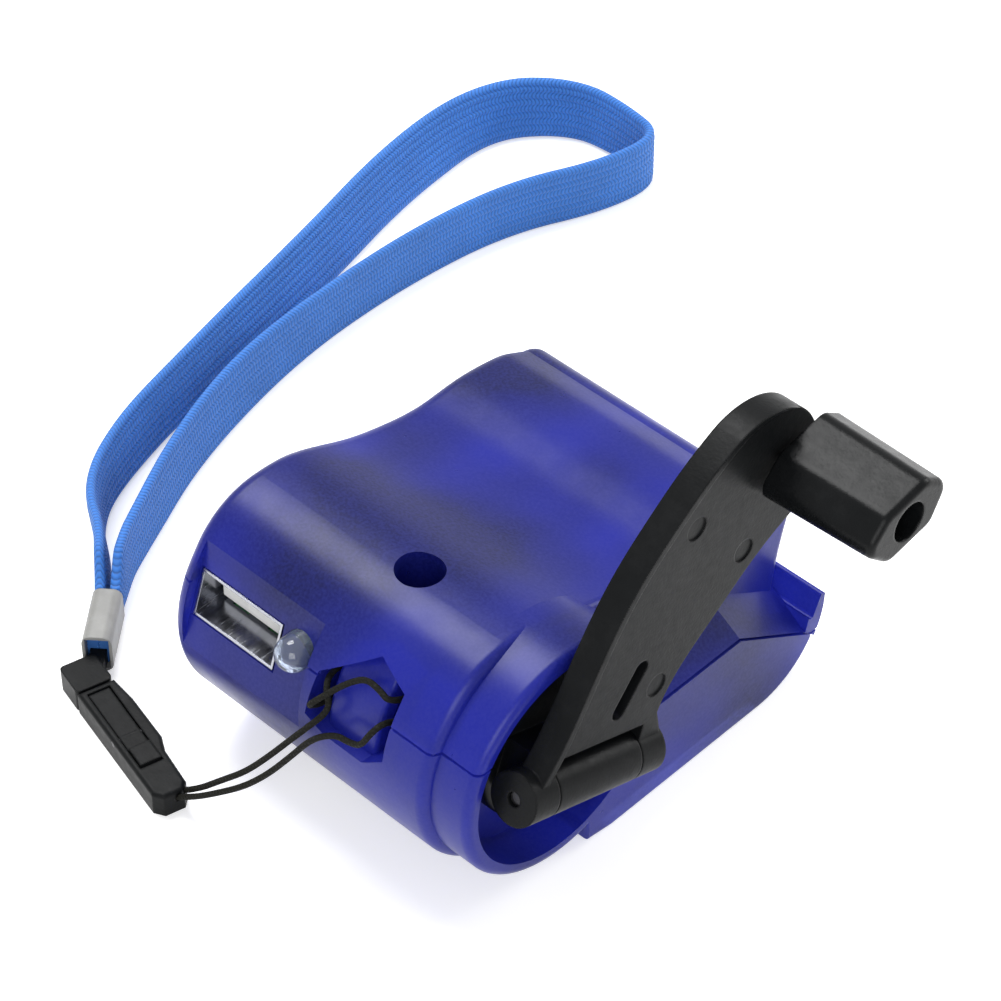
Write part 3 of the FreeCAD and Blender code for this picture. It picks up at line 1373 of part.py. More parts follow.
def make_band():
    """The woven strap stands on its edge: both sides of its route, closed and raised."""
    points = [Vector(x, y, floor_z + 0.05) for x, y in BAND_ROUTE]
    edges, radii = rounded_route(points)
    half = size.band_thickness / 2
    sides = {-1: [], 1: []}
    for index, edge in enumerate(edges):
        ends = [edge.valueAt(edge.FirstParameter), edge.valueAt(edge.LastParameter)]
        middle = edge.valueAt((edge.FirstParameter + edge.LastParameter) / 2)
        for side in (-1, 1):
            moved = []
            for parameter, point in (
                (edge.FirstParameter, ends[0]),
                ((edge.FirstParameter + edge.LastParameter) / 2, middle),
                (edge.LastParameter, ends[1]),
            ):
                way = edge.tangentAt(parameter)
                if way.dot(points[min(index // 2 + 1, len(points) - 1)] - points[index // 2]) < -1e-9:
                    way = way * -1
                moved.append(point + Vector(-way.y, way.x, 0) * (side * half))
            if index % 2:
                sides[side].append(arc(*moved))
            else:
                sides[side].append(line(moved[0], moved[2]))
    caps = []
    for index in (0, -1):
        near = sides[-1][index].Vertexes[index].Point
        far = sides[1][index].Vertexes[index].Point
        caps.append(line(near, far))
    outline = Part.Wire(Part.__sortEdges__(sides[-1] + sides[1] + caps))
    band = Part.Face(outline).extrude(Vector(0, 0, size.band_width))
    report_route("wrist_strap", edges, radii, size.band_width * size.band_thickness, band)
    narrow = []
    for low, high, slope in ((5.25, 12.0, 1), (-3.0, 0.65, -1)):
        wedge = strap_block((-2, CRIMP_LENGTH + 0.4), (-8, 8), (low, high))
        narrow.append(wedge)
        start = low if slope > 0 else high
        finish = size.band_width + 0.2 if slope > 0 else -0.2
        profile = [
            Vector(CRIMP_LENGTH + 0.3, 0, start),
            Vector(CRIMP_LENGTH + 4.5, 0, finish),
            Vector(CRIMP_LENGTH + 0.3, 0, finish),
        ]
        ramp = Part.Face(Part.makePolygon(profile + profile[:1])).extrude(Vector(0, 24, 0))
        ramp.translate(Vector(0, -12, 0))
        ramp.rotate(Vector(), Vector(0, 0, 1), strap_turn)
        ramp.translate(crimp_at)
        narrow.append(ramp)
    return band.cut(narrow).removeSplitter()


feature("wrist_strap", make_band())

# ---------------------------------------------------------------- checks and files

doc.recompute()
os.makedirs("parts", exist_ok=True)
problems = []
for item in doc.Objects:
    if "Invalid" in item.State or "Error" in item.State:
        problems.append(f"{item.Label}: {item.State}")
for node in nodes:
    if node.Shape.isNull() or not node.Shape.isValid() or node.Shape.Volume <= 0:
        problems.append(f"{node.Label}: shape is not a valid solid")
if problems:
    raise RuntimeError("; ".join(problems))
for node in nodes:
    node.Shape.exportStep(os.path.join("parts", node.Label + ".step"))
print(len(nodes), "nodes written")
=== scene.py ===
import json
import math

import bmesh
import bpy
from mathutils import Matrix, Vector


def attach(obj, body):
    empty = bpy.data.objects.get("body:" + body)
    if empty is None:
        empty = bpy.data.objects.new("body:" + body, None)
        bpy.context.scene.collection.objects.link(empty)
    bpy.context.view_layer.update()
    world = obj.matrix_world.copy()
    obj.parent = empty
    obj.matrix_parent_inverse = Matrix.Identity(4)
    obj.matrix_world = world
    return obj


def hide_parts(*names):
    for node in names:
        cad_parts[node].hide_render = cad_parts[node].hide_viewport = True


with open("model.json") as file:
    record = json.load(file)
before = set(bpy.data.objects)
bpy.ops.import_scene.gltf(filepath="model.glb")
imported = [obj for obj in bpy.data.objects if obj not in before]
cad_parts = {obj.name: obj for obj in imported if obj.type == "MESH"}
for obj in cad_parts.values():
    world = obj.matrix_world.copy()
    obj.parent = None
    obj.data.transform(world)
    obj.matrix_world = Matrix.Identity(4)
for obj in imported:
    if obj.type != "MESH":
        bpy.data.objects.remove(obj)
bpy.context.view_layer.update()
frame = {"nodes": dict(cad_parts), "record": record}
scene = bpy.context.scene
MM = 0.001

# ---------------------------------------------------------------- camera

PHOTO_WIDTH = 1001      # in pixels
FOCAL_PIXELS = 3500.0   # focal length in the same pixels
SENSOR_MM = 36.0
AZIMUTH = 44.0          # of the photograph's viewing direction, in degrees
ELEVATION = 43.5

camera_data = bpy.data.cameras.new("camera")
camera_data.sensor_fit = "HORIZONTAL"
camera_data.sensor_width = SENSOR_MM
camera_data.lens = FOCAL_PIXELS / PHOTO_WIDTH * SENSOR_MM
camera = bpy.data.objects.new("camera", camera_data)
camera.location = (0.20039, -0.21492, 0.30685)
camera.rotation_euler = (math.radians(90.0 - ELEVATION), 0.0, math.radians(AZIMUTH))
scene.collection.objects.link(camera)
scene.camera = camera

# ---------------------------------------------------------------- cords

# place of the crank axis in the row frame: the cords' routes below are written from it
AXIS = Vector((0.0, -21.0, 18.4))


def route_curve(name, points):
    """A quadratic NURBS curve whose control points are the given points, in millimetres."""
    data = bpy.data.curves.new(name, "CURVE")
    data.dimensions = "3D"
    spline = data.splines.new("NURBS")
    spline.points.add(len(points) - 1)
    for control, point in zip(spline.points, points):
        control.co = (*((Vector(point) + AXIS) * MM), 1.0)
        # the tube's radius is this times the bevel depth, and it also widens the curve's bounds
        control.radius = MM
    spline.order_u = 3
    spline.use_endpoint_u = True
    spline.resolution_u = 16
    made = bpy.data.objects.new(name, data)
    scene.collection.objects.link(made)
    return made


def curve_points(curve):
    """The points of an unbevelled curve's own line."""
    mesh = bpy.data.meshes.new_from_object(curve)
    points = [vertex.co.copy() for vertex in mesh.vertices]
    bpy.data.meshes.remove(mesh)
    return points


CORD_ROUTE = [
    (-16.5, -24, -17.2),
    (-12.9, -23.85, -14.4),
    (-9.06, -22.9, -10.46),
    (-6.19, -21.8, -7.76),
    (-3.41, -20.6, -4.06),
    (-0.84, -19.4, -0.24),
    (1, -18.2, 2.4),
    (2.7, -16.3, 5),
    (1.3, -15.6, 6.8),
    (0.15, -13.8, 7.2),
    (0.12, -9.9, 7),
    (4.8, -9.5, 7.2),
    (9.9, -9.6, 7.6),
    (9.7, -13.9, 9.4),
    (8.1, -13.9, 10.4),
    (6.0, -13.9, 10.6),
    (3.9, -15, 9),
    (1.9, -16.7, 6.8),
    (0, -17.5, 4.4),
    (-0.1, -15, 2.9),
    (0, -12, 2.8),
    (4.8, -11.6, 3.2),
    (9.6, -11.4, 4.4),
    (9.9, -14.8, 7.2),
    (9.4, -16.6, 6.4),
    (8.5, -17.3, 4.2),
    (6.6, -17.2, 3.2),
    (4.6, -17.5, 3.3),
    (2.3, -18.9, 2),
    (-0.21, -20.1, -2.02),
    (-2.78, -21.3, -5.88),
    (-5.53, -22.5, -9.07),
    (-8.26, -23.7, -11.25),
    (-12.4, -24.9, -14.5),
    (-16.2, -25, -17.2),
]
CORD_RADIUS = 0.375

strap_cord = route_curve("strap_cord_braid", CORD_ROUTE)
strap_cord.data.bevel_depth = CORD_RADIUS
strap_cord.data.bevel_resolution = 5
strap_cord.data.use_fill_caps = True
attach(strap_cord, "casing")
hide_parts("strap_cord")

BAND_WIDTH = 9.0
BAND_THICKNESS = 1.4
BAND_FLOOR = -18.35    # lower edge of the band, from the crank axis
CRIMP_LENGTH = 10.4
NARROW_LOW = 0.62      # lower and upper edge of the band inside the crimp, above BAND_FLOOR
NARROW_HIGH = 5.2
NARROWING = 4.5        # length on which it widens beyond the crimp
BAND_STEP = 0.5        # distance between two cross sections
CRIMP_AT = Vector((-37.05, -18.2, 0.0))
CRIMP_WAY = Vector((-0.635, 0.772, 0.0)).normalized()
CRIMP_SIDE = Vector((CRIMP_WAY.y, -CRIMP_WAY.x, 0.0))
STRAND_GAP = 0.03      # from either strand to the middle between them
STRAND_OFFSET = BAND_THICKNESS / 2 + STRAND_GAP
STRAND_START = 3.0     # the band's ends inside the crimp
STRAND_TURN = CRIMP_LENGTH + 5.4    # where the strands begin to part


def strand_point(along, side):
    """A place along the crimp and beside its middle, as (x, y) from the crank axis."""
    place = CRIMP_AT + CRIMP_WAY * along + CRIMP_SIDE * side
    return (place.x, place.y)


BAND_ROUTE = [
    strand_point(STRAND_START, -STRAND_OFFSET),
    strand_point(STRAND_TURN, -STRAND_OFFSET),
    (-57.6, -1.0),
    (-63.0, 10.5),
    (-67.0, 28.0),
    (-71.5, 50.0),
    (-77.8, 74.0),
    (-78.6, 92.0),
    (-70.0, 101.3),
    (-60.0, 101.8),
    (-53.4, 100.8),
    (-54.6, 91.0),
    (-60.8, 78.0),
    (-63.0, 62.0),
    (-62.9, 45.0),
    (-61.0, 29.5),
    (-56.5, 14.5),
    (-49.8, 0.8),
    strand_point(STRAND_TURN, STRAND_OFFSET),
    strand_point(STRAND_START, STRAND_OFFSET),
]

# how far the band leans towards its left side, in degrees, by the distance along it
BAND_LEAN = [
    (0, 0), (24, 5), (40, 10), (78, 24), (106, 25), (122, 14), (134, 7), (146, 0),
    (200, 0), (222, -7), (240, -4), (256, 0), (300, 0),
]


def evenly(points, step):
    """The same line with its points about a step apart."""
    out = [points[0]]
    left = step
    for start, end in zip(points, points[1:]):
        span = (end - start).length
        while span >= left:
            start = start.lerp(end, left / span)
            span = (end - start).length
            out.append(start)
            left = step
        left -= span
    out[-1] = points[-1]
    return out


def smooth(share):
    """A share 0..1 that starts and ends gently."""
    return share * share * (3 - 2 * share)


def lean_at(distance):
    """The band's lean in radians at a distance along it, in millimetres."""
    for (start, low), (end, high) in zip(BAND_LEAN, BAND_LEAN[1:]):
        if distance <= end:
            share = (distance - start) / (end - start)
            return math.radians(low + (high - low) * smooth(share))
    return 0.0


RIBS = 9            # woven ribs across the band
RIB_DEPTH = 0.30    # share of half the thickness
RIB_POWER = 0.7     # of the sine that shapes a rib: below 1 it is fuller
PER_RIB = 6         # points of the section on each rib
EDGE_SHARE = 0.45   # of the thickness, which is left at the band's edges
EDGE_SLOPE = 1.2    # full thickness is reached 1 / EDGE_SLOPE ribs from an edge


def band_section():
    """The woven band's cross section as (across the width 0..1, out of the face -1..1)."""
    count = RIBS * PER_RIB
    face = []
    for index in range(count + 1):
        share = index / count
        rib = abs(math.sin(math.pi * share * RIBS)) ** RIB_POWER
        edge = min(1.0, min(share, 1 - share) * RIBS * EDGE_SLOPE)
        body = EDGE_SHARE + (1 - EDGE_SHARE) * edge
        face.append((share, (1 - RIB_DEPTH) * body + RIB_DEPTH * rib))
    back = [(share, -out) for share, out in reversed(face)]
    return face + back


def make_band():
    """The woven band as a mesh, and the points along its middle."""
    route = [(x, y, BAND_FLOOR + BAND_WIDTH / 2) for x, y in BAND_ROUTE]
    curve = route_curve("strap_route", route)
    path = curve_points(curve)
    bpy.data.objects.remove(curve)
    line = evenly(path, BAND_STEP * MM)
    section = band_section()
    crimp_at = (CRIMP_AT + AXIS) * MM
    mesh = bmesh.new()
    uv = mesh.loops.layers.uv.new("length_and_width")
    rings = []
    travelled = []
    distance = 0.0
    for index, place in enumerate(line):
        ahead = line[min(index + 1, len(line) - 1)]
        behind = line[max(index - 1, 0)]
        way = (ahead - behind).normalized()
        across = Vector((-way.y, way.x, 0.0))
        if index:
            distance += (place - line[index - 1]).length
        travelled.append(distance)
        beyond = ((place - crimp_at).dot(CRIMP_WAY) / MM - CRIMP_LENGTH) / NARROWING
        grow = smooth(min(1.0, max(0.0, beyond)))
        low = (BAND_FLOOR + NARROW_LOW * (1 - grow) + AXIS.z) * MM
        high = (BAND_FLOOR + NARROW_HIGH + (BAND_WIDTH - NARROW_HIGH) * grow + AXIS.z) * MM
        lean = lean_at(distance / MM)
        upward = across * math.sin(lean) + Vector((0.0, 0.0, math.cos(lean)))
        outward = across * math.cos(lean) - Vector((0.0, 0.0, math.sin(lean)))
        middle = Vector((place.x, place.y, low + (high - low) / 2 * math.cos(lean)))
        middle.z += BAND_THICKNESS / 2 * MM * abs(math.sin(lean))
        ring = []
        for share, out in section:
            up = upward * ((share - 0.5) * (high - low))
            ring.append(mesh.verts.new(middle + up + outward * (out * BAND_THICKNESS / 2 * MM)))
        rings.append(ring)
    around = len(section)
    for index in range(len(rings) - 1):
        for turn in range(around):
            after = (turn + 1) % around
            corners = ((index, turn), (index + 1, turn), (index + 1, after), (index, after))
            face = mesh.faces.new([rings[step][corner] for step, corner in corners])
            face.smooth = True
            for loop, (step, corner) in zip(face.loops, corners):
                loop[uv].uv = (travelled[step], section[corner][0] * BAND_WIDTH * MM)
    mesh.faces.new(rings[0])
    mesh.faces.new(list(reversed(rings[-1])))
    bmesh.ops.recalc_face_normals(mesh, faces=mesh.faces)
    data = bpy.data.meshes.new("wrist_strap_weave")
    mesh.to_mesh(data)
    mesh.free()
    made = bpy.data.objects.new("wrist_strap_weave", data)
    scene.collection.objects.link(made)
    return made, path


wrist_strap, band_path = make_band()
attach(wrist_strap, "strap")
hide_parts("wrist_strap")

# ---------------------------------------------------------------- materials

WAVE_PERIOD = math.pi / 10    # distance between the bands of a wave texture of scale 1


class Tree:
    """A short way to write a material's nodes."""

    def __init__(self, name):
        self.material = bpy.data.materials.new(name)
        self.material.use_nodes = True
        self.nodes = self.material.node_tree.nodes
        self.links = self.material.node_tree.links
        self.nodes.clear()
        self.output = self.add("ShaderNodeOutputMaterial")
        self.place = self.add("ShaderNodeTexCoord").outputs["Object"]

    def add(self, kind, **values):
        node = self.nodes.new(kind)
        for key, value in values.items():
            setattr(node, key, value)
        return node

    def put(self, socket, value):
        """Link a socket to another one, or set its own value."""
        if isinstance(value, bpy.types.NodeSocket):
            self.links.new(value, socket)
        else:
            socket.default_value = value

    def noise(self, scale, detail=3.0, rough=0.55, at=None):
        node = self.add("ShaderNodeTexNoise")
        self.put(node.inputs["Vector"], at or self.place)
        node.inputs["Scale"].default_value = scale
        node.inputs["Detail"].default_value = detail
        node.inputs["Roughness"].default_value = rough
        return node.outputs["Fac"]

    def stretched(self, scale, at=None):
        node = self.add("ShaderNodeMapping")
        self.put(node.inputs["Vector"], at or self.place)
        node.inputs["Scale"].default_value = scale
        return node.outputs["Vector"]

    def wave(self, period, direction, distortion, at=None):
        """Bands across a direction, a period apart in metres."""
        node = self.add("ShaderNodeTexWave", bands_direction=direction)
        self.put(node.inputs["Vector"], at or self.place)
        node.inputs["Scale"].default_value = WAVE_PERIOD / period
        node.inputs["Distortion"].default_value = distortion
        node.inputs["Detail Scale"].default_value = 2.0
        return node.outputs["Fac"]

    def ranged(self, value, low, high, source=(0.25, 0.75)):
        node = self.add("ShaderNodeMapRange")
        self.put(node.inputs["Value"], value)
        node.inputs["From Min"].default_value = source[0]
        node.inputs["From Max"].default_value = source[1]
        node.inputs["To Min"].default_value = low
        node.inputs["To Max"].default_value = high
        return node.outputs["Result"]

    def math(self, operation, first, second=0.0):
        node = self.add("ShaderNodeMath", operation=operation)
        self.put(node.inputs[0], first)
        self.put(node.inputs[1], second)
        return node.outputs["Value"]

    def mix(self, factor, first, second):
        """Two colours mixed.  A mix node's colour sockets have the same names as its others."""
        node = self.add("ShaderNodeMix", data_type="RGBA")
        self.put(node.inputs["Factor"], factor)
        self.put(node.inputs[6], first)
        self.put(node.inputs[7], second)
        return node.outputs[2]

    def bump(self, height, depth, normal=None, strength=1.0):
        node = self.add("ShaderNodeBump")
        self.put(node.inputs["Height"], height)
        node.inputs["Distance"].default_value = depth
        node.inputs["Strength"].default_value = strength
        if normal is not None:
            self.put(node.inputs["Normal"], normal)
        return node.outputs["Normal"]

    def rounded(self, radius):
        """A normal that rounds sharp edges."""
        node = self.add("ShaderNodeBevel", samples=4)
        node.inputs["Radius"].default_value = radius
        return node.outputs["Normal"]

    def principled(self, **values):
        node = self.add("ShaderNodeBsdfPrincipled")
        for key, value in values.items():
            self.put(node.inputs[key.replace("_", " ")], value)
        return node

    def finish(self, shader):
        self.links.new(shader.outputs[0], self.output.inputs["Surface"])
        return self.material


def shade(colour, factor):
    """A colour as a socket value, made darker or lighter."""
    return (*(min(1.0, part * factor) for part in colour), 1.0)


def mottled(tree, colour, scale, spread):
    """A colour that varies a little from place to place."""
    place = tree.ranged(tree.noise(scale), 0.0, 1.0)
    return tree.mix(place, shade(colour, 1 - spread), shade(colour, 1 + spread))


def tinted_shell():
    """Clear plastic tinted blue and frosted, with soft clouds of painted shade and pale specks.

    Its shadow is tinted too, because light rays find it transparent."""
    tree = Tree("tinted_shell")
    plain = shade((0.016, 0.024, 0.36), 1.0)
    # painted shade: a darker colour in noise clouds, standing in for the shadows of the parts
    # inside
    painted_shade_colour = shade((0.007, 0.010, 0.10), 1.0)
    pale = mottled(tree, (0.034, 0.046, 0.38), 60.0, 0.1)
    painted_shade_clouds = tree.ranged(tree.noise(34.0, 2.0, 0.5), 0.0, 1.0, (0.38, 0.60))
    specks = tree.ranged(tree.noise(2600.0, 2.0), 0.0, 0.4, (0.35, 0.80))
    body = tree.principled(
        Base_Color=tree.mix(specks, tree.mix(painted_shade_clouds, painted_shade_colour, plain), pale),
        Roughness=tree.ranged(tree.noise(350.0, 5.0), 0.27, 0.36),
        Transmission_Weight=0.45,
        IOR=1.29,
        Normal=tree.bump(tree.noise(1300.0, 2.0), 0.00002, strength=0.4),
    )
    clear = tree.add("ShaderNodeBsdfTransparent")
    clear.inputs["Color"].default_value = (0.20, 0.21, 0.42, 1.0)
    blend = tree.add("ShaderNodeMixShader")
    rays = tree.add("ShaderNodeLightPath")
    tree.links.new(rays.outputs["Is Shadow Ray"], blend.inputs["Fac"])
    tree.links.new(body.outputs[0], blend.inputs[1])
    tree.links.new(clear.outputs[0], blend.inputs[2])
    return tree.finish(blend)


def clear_lamp():
    """The lamp's clear resin."""
    tree = Tree("clear_lamp")
    return tree.finish(
        tree.principled(
            Base_Color=mottled(tree, (0.50, 0.58, 0.74), 900.0, 0.08),
            Roughness=tree.ranged(tree.noise(1500.0), 0.02, 0.08),
            Transmission_Weight=0.9,
            IOR=1.5,
            Normal=tree.bump(tree.noise(700.0), 0.00003),
        )
    )


def moulded(name, colour, rough, grain=4000.0, depth=0.00002, wear=0.2, edge=0.0002, shine=1.45):
    """Moulded plastic with a fine grain, rubbed paler and smoother here and there.

    The grain is a noise scale, its depth and the edge's radius are in metres, and shine is the
    refractive index."""
    tree = Tree(name)
    rubbed = tree.ranged(tree.noise(180.0, 6.0, 0.7), 0.0, wear, (0.52, 0.75))
    plain = mottled(tree, colour, 300.0, 0.15)
    return tree.finish(
        tree.principled(
            Base_Color=tree.mix(rubbed, plain, shade([part + 0.03 for part in colour], 1.4)),
            Roughness=tree.math(
                "SUBTRACT",
                tree.ranged(tree.noise(grain / 3), rough - 0.06, rough + 0.06),
                tree.math("MULTIPLY", rubbed, 0.15),
            ),
            IOR=shine,
            Normal=tree.bump(tree.noise(grain, 2.0), depth, tree.rounded(edge)),
        )
    )


def metal(name, colour, rough, lines=(900.0, 6000.0, 6000.0), depth=0.00001, edge=0.00012):
    """Bare metal with fine lines along one way and a little tarnish."""
    tree = Tree(name)
    fine = tree.noise(1.0, 3.0, 0.6, at=tree.stretched(lines))
    tarnish = tree.ranged(tree.noise(500.0, 5.0), 0.0, 0.6, (0.45, 0.8))
    return tree.finish(
        tree.principled(
            Base_Color=tree.mix(tarnish, shade(colour, 1.0), shade(colour, 0.72)),
            Metallic=1.0,
            Roughness=tree.ranged(fine, rough - 0.08, rough + 0.12),
            Normal=tree.bump(fine, depth, tree.rounded(edge)),
        )
    )


def banded(name, colour, painted_shade_colour, period, metallic, rough):
    """Thin sheets or turns of wire side by side along X, a period apart in metres, with painted
    shade in the grooves.
    """
    tree = Tree(name)
    rows = tree.wave(period, "X", 0.6)
    # painted shade: the grooves between the sheets or turns get the darker colour
    unshaded_crest = tree.ranged(rows, 0.0, 1.0, (0.1, 0.6))
    return tree.finish(
        tree.principled(
            Base_Color=tree.mix(unshaded_crest, shade(painted_shade_colour, 1.0), mottled(tree, colour, 800.0, 0.15)),
            Metallic=metallic,
            Roughness=tree.ranged(tree.noise(2500.0), rough - 0.08, rough + 0.1),
            Normal=tree.bump(rows, 0.00004),
        )
    )


def circuit():
    """Lacquered board with a plain net of copper tracks."""
    tree = Tree("circuit")
    bricks = tree.add("ShaderNodeTexBrick")
    tree.put(bricks.inputs["Vector"], tree.place)
    bricks.inputs["Scale"].default_value = 260.0
    bricks.inputs["Mortar Size"].default_value = 0.05
    tracks = bricks.outputs["Fac"]
    lacquer = mottled(tree, (0.02, 0.12, 0.05), 300.0, 0.2)
    return tree.finish(
        tree.principled(
            Base_Color=tree.mix(tracks, lacquer, (0.07, 0.28, 0.09, 1.0)),
            Roughness=tree.ranged(tree.noise(1500.0), 0.25, 0.4),
            Coat_Weight=0.4,
            Normal=tree.bump(tracks, 0.00003),
        )
    )


PICK_PERIOD = 0.00055      # between two picks of the band, in metres
PICK_LEAN = 1.6            # how far the picks follow the ribs, in radians
THREAD_PERIOD = 0.00042    # between two threads of the cord's braid


def webbing():
    """Woven nylon: ribs along the band from its shape, fine picks across it with painted shade
    between them, a little sheen.
    """
    tree = Tree("webbing")
    flat = tree.add("ShaderNodeUVMap", uv_map="length_and_width").outputs["UV"]
    split = tree.add("ShaderNodeSeparateXYZ")
    tree.put(split.inputs[0], flat)
    along, across = split.outputs["X"], split.outputs["Y"]
    pick = tree.math("MULTIPLY", along, math.tau / PICK_PERIOD)
    warp = tree.math("MULTIPLY", across, math.tau * RIBS / (BAND_WIDTH * MM))
    lean = tree.math("MULTIPLY", tree.math("SINE", tree.math("MULTIPLY", warp, 0.5)), PICK_LEAN)
    phase = tree.math("ADD", tree.math("MULTIPLY", pick, 0.5), lean)
    picks = tree.math("ABSOLUTE", tree.math("SINE", phase))
    fibres = tree.noise(9000.0, 2.0, at=tree.stretched((0.35, 1.0, 1.0), flat))
    height = tree.math("ADD", picks, tree.math("MULTIPLY", fibres, 0.5))
    colour = (0.027, 0.160, 0.54)
    # painted shade: the hollows between the picks are darkened to 0.45 of the thread's colour
    unshaded_crest = tree.ranged(picks, 0.0, 1.0, (0.0, 0.7))
    thread = tree.mix(unshaded_crest, shade(colour, 0.45), mottled(tree, colour, 150.0, 0.12))
    return tree.finish(
        tree.principled(
            Base_Color=tree.mix(tree.ranged(fibres, 0.0, 0.25), thread, shade(colour, 1.5)),
            Roughness=tree.ranged(fibres, 0.55, 0.8),
            Sheen_Weight=0.08,
            Normal=tree.bump(height, 0.00009),
        )
    )


def braid():
    """Thin black cord, braided of threads that cross."""
    tree = Tree("braid")
    mirrored = tree.stretched((-1.0, 1.0, 1.0))
    one = tree.wave(THREAD_PERIOD, "DIAGONAL", 1.0)
    other = tree.wave(THREAD_PERIOD, "DIAGONAL", 1.0, at=mirrored)
    cross = tree.math("MAXIMUM", one, other)
    fuzz = tree.ranged(tree.noise(7000.0, 3.0), 0.0, 1.0, (0.35, 0.7))
    return tree.finish(
        tree.principled(
            Base_Color=tree.mix(fuzz, (0.002, 0.002, 0.001, 1.0), (0.011, 0.011, 0.008, 1.0)),
            Roughness=tree.ranged(cross, 0.6, 0.8, (0.0, 1.0)),
            IOR=1.25,
            Normal=tree.bump(cross, 0.00006),
        )
    )


BLACK = (0.004, 0.0045, 0.005)
TURNED = (7000.0, 900.0, 900.0)    # lines round a turned part, whose axis lies along X

MATERIALS = {
    "shell": tinted_shell(),
    "socket_metal": metal(
        "socket_metal", (0.36, 0.37, 0.41), 0.2, lines=(1800.0, 400.0, 1800.0), depth=0.000002
    ),
    "socket_insert": moulded("socket_insert", (0.72, 0.72, 0.70), 0.4),
    "contact_metal": metal("contact_metal", (0.85, 0.66, 0.32), 0.25),
    "lamp": clear_lamp(),
    "wire_metal": metal("wire_metal", (0.66, 0.66, 0.67), 0.3),
    "board": circuit(),
    "electronics": moulded("electronics", (0.018, 0.018, 0.020), 0.5, wear=0.3),
    "capacitor_sleeve": moulded("capacitor_sleeve", (0.02, 0.03, 0.08), 0.3, wear=0.3),
    "gear_white": moulded("gear_white", (0.72, 0.71, 0.66), 0.42, wear=0.3),
    "steel": metal("steel", (0.52, 0.52, 0.54), 0.3, TURNED),
    "brass": metal("brass", (0.72, 0.52, 0.22), 0.28, TURNED),
    "laminations": banded(
        "laminations", (0.20, 0.20, 0.21), (0.04, 0.04, 0.045), 0.00035, metallic=0.8, rough=0.4
    ),
    "copper_wire": banded(
        "copper_wire", (0.62, 0.24, 0.09), (0.14, 0.04, 0.015), 0.0003, metallic=0.7, rough=0.3
    ),
    "magnet": moulded("magnet", (0.05, 0.05, 0.055), 0.4, grain=2500.0, wear=0.5),
    "insulated_wire": moulded("insulated_wire", (0.42, 0.02, 0.02), 0.35),
    "black_plastic": moulded(
        "black_plastic", BLACK, 0.40, grain=2600.0, wear=0.1, edge=0.00035, shine=1.19
    ),
    "crimp_metal": moulded(
        "crimp_metal", (0.24, 0.24, 0.23), 0.42, grain=3000.0, depth=0.00003, edge=0.0003
    ),
    "webbing": webbing(),
    "black_cord": braid(),
}

BLACK_STEEL = metal("black_steel", (0.06, 0.06, 0.065), 0.4, TURNED)

# the knob is glossier than the other black parts, and the two pins are blackened
SPECIAL = {
    "crank_knob": moulded(
        "knob_plastic", BLACK, 0.26, grain=1800.0, wear=0.1, edge=0.0004, shine=1.21
    ),
    "hinge_pin": BLACK_STEEL,
    "tongue_pin": BLACK_STEEL,
}

for part in frame["record"]["subparts"]:
    node = frame["nodes"][part["node"]]
    for holder in node.material_slots:
        holder.material = SPECIAL.get(part["node"], MATERIALS[part["material_slot"]])
strap_cord.data.materials.append(MATERIALS["black_cord"])
wrist_strap.data.materials.append(MATERIALS["webbing"])

# ---------------------------------------------------------------- floor and light

FLOOR_HALF = 3.0      # half of its side, in metres
FLOOR_GLOW = 0.42     # brings the floor to white in the camera's view
WORLD_LIGHT = 0.45    # strength of the white world as a light


def seen_directly(nodes, links):
    """A socket that is 1 for camera, glossy and transmission rays and 0 for others."""
    rays = nodes.new("ShaderNodeLightPath")
    seen = rays.outputs["Is Camera Ray"]
    for kind in ("Is Glossy Ray", "Is Transmission Ray"):
        either = nodes.new("ShaderNodeMath")
        either.operation = "MAXIMUM"
        links.new(seen, either.inputs[0])
        links.new(rays.outputs[kind], either.inputs[1])
        seen = either.outputs["Value"]
    return seen


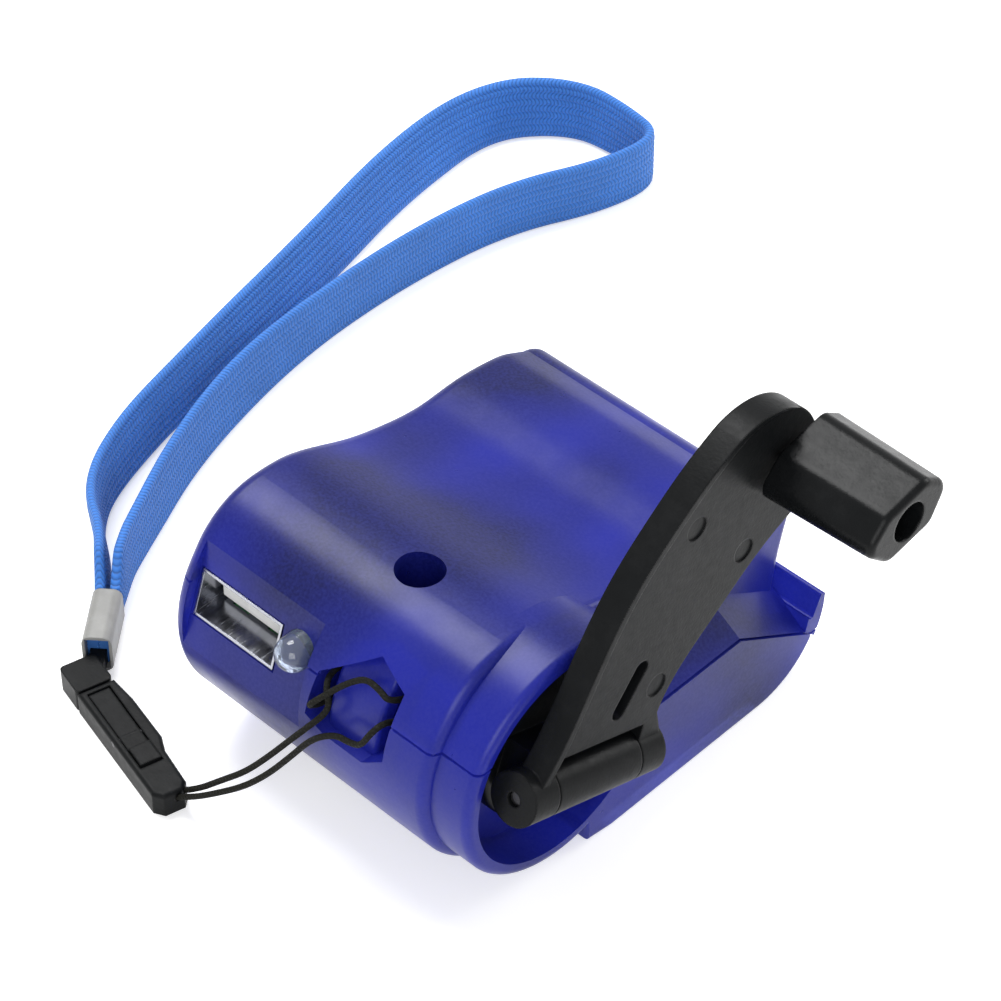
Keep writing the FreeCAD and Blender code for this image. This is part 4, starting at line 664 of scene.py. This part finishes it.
def make_floor():
    """A matt white floor that keeps the object's shadow."""
    mesh = bmesh.new()
    bmesh.ops.create_grid(mesh, x_segments=1, y_segments=1, size=FLOOR_HALF)
    data = bpy.data.meshes.new("floor")
    mesh.to_mesh(data)
    mesh.free()
    made = bpy.data.objects.new("floor", data)
    scene.collection.objects.link(made)
    tree = Tree("floor")
    paper = tree.add("ShaderNodeBsdfDiffuse")
    paper.inputs["Color"].default_value = (0.86, 0.86, 0.86, 1.0)
    glow = tree.add("ShaderNodeEmission")
    glow.inputs["Color"].default_value = (1.0, 1.0, 1.0, 1.0)
    seen = seen_directly(tree.nodes, tree.links)
    tree.links.new(tree.math("MULTIPLY", seen, FLOOR_GLOW), glow.inputs["Strength"])
    both = tree.add("ShaderNodeAddShader")
    tree.links.new(paper.outputs[0], both.inputs[0])
    tree.links.new(glow.outputs[0], both.inputs[1])
    data.materials.append(tree.finish(both))
    return made


make_floor()

world = bpy.data.worlds.new("studio")
world.use_nodes = True
world_nodes, world_links = world.node_tree.nodes, world.node_tree.links
background = world_nodes["Background"]
background.inputs["Color"].default_value = (1.0, 1.0, 1.0, 1.0)
level = world_nodes.new("ShaderNodeMapRange")
level.inputs["To Min"].default_value = WORLD_LIGHT
level.inputs["To Max"].default_value = 1.0
world_links.new(seen_directly(world_nodes, world_links), level.inputs["Value"])
world_links.new(level.outputs["Result"], background.inputs["Strength"])
scene.world = world

CENTRE = Vector((-0.01, 0.02, 0.015))    # about the middle of the part and its strap


def lamp(name, place, side, power):
    """A square soft box at a place, aimed at the part: side in metres, power in watts."""
    data = bpy.data.lights.new(name, "AREA")
    data.size = side
    data.energy = power
    made = bpy.data.objects.new(name, data)
    made.location = place
    made.rotation_euler = (CENTRE - Vector(place)).to_track_quat("-Z", "Y").to_euler()
    scene.collection.objects.link(made)


lamp("key", (-0.35, 0.10, 0.75), 0.45, 7.0)
lamp("fill", (0.45, -0.55, 0.45), 0.5, 3.5)
lamp("rim", (0.25, 0.75, 0.40), 0.35, 3.0)

scene.view_settings.view_transform = "Standard"

bpy.context.view_layer.update()
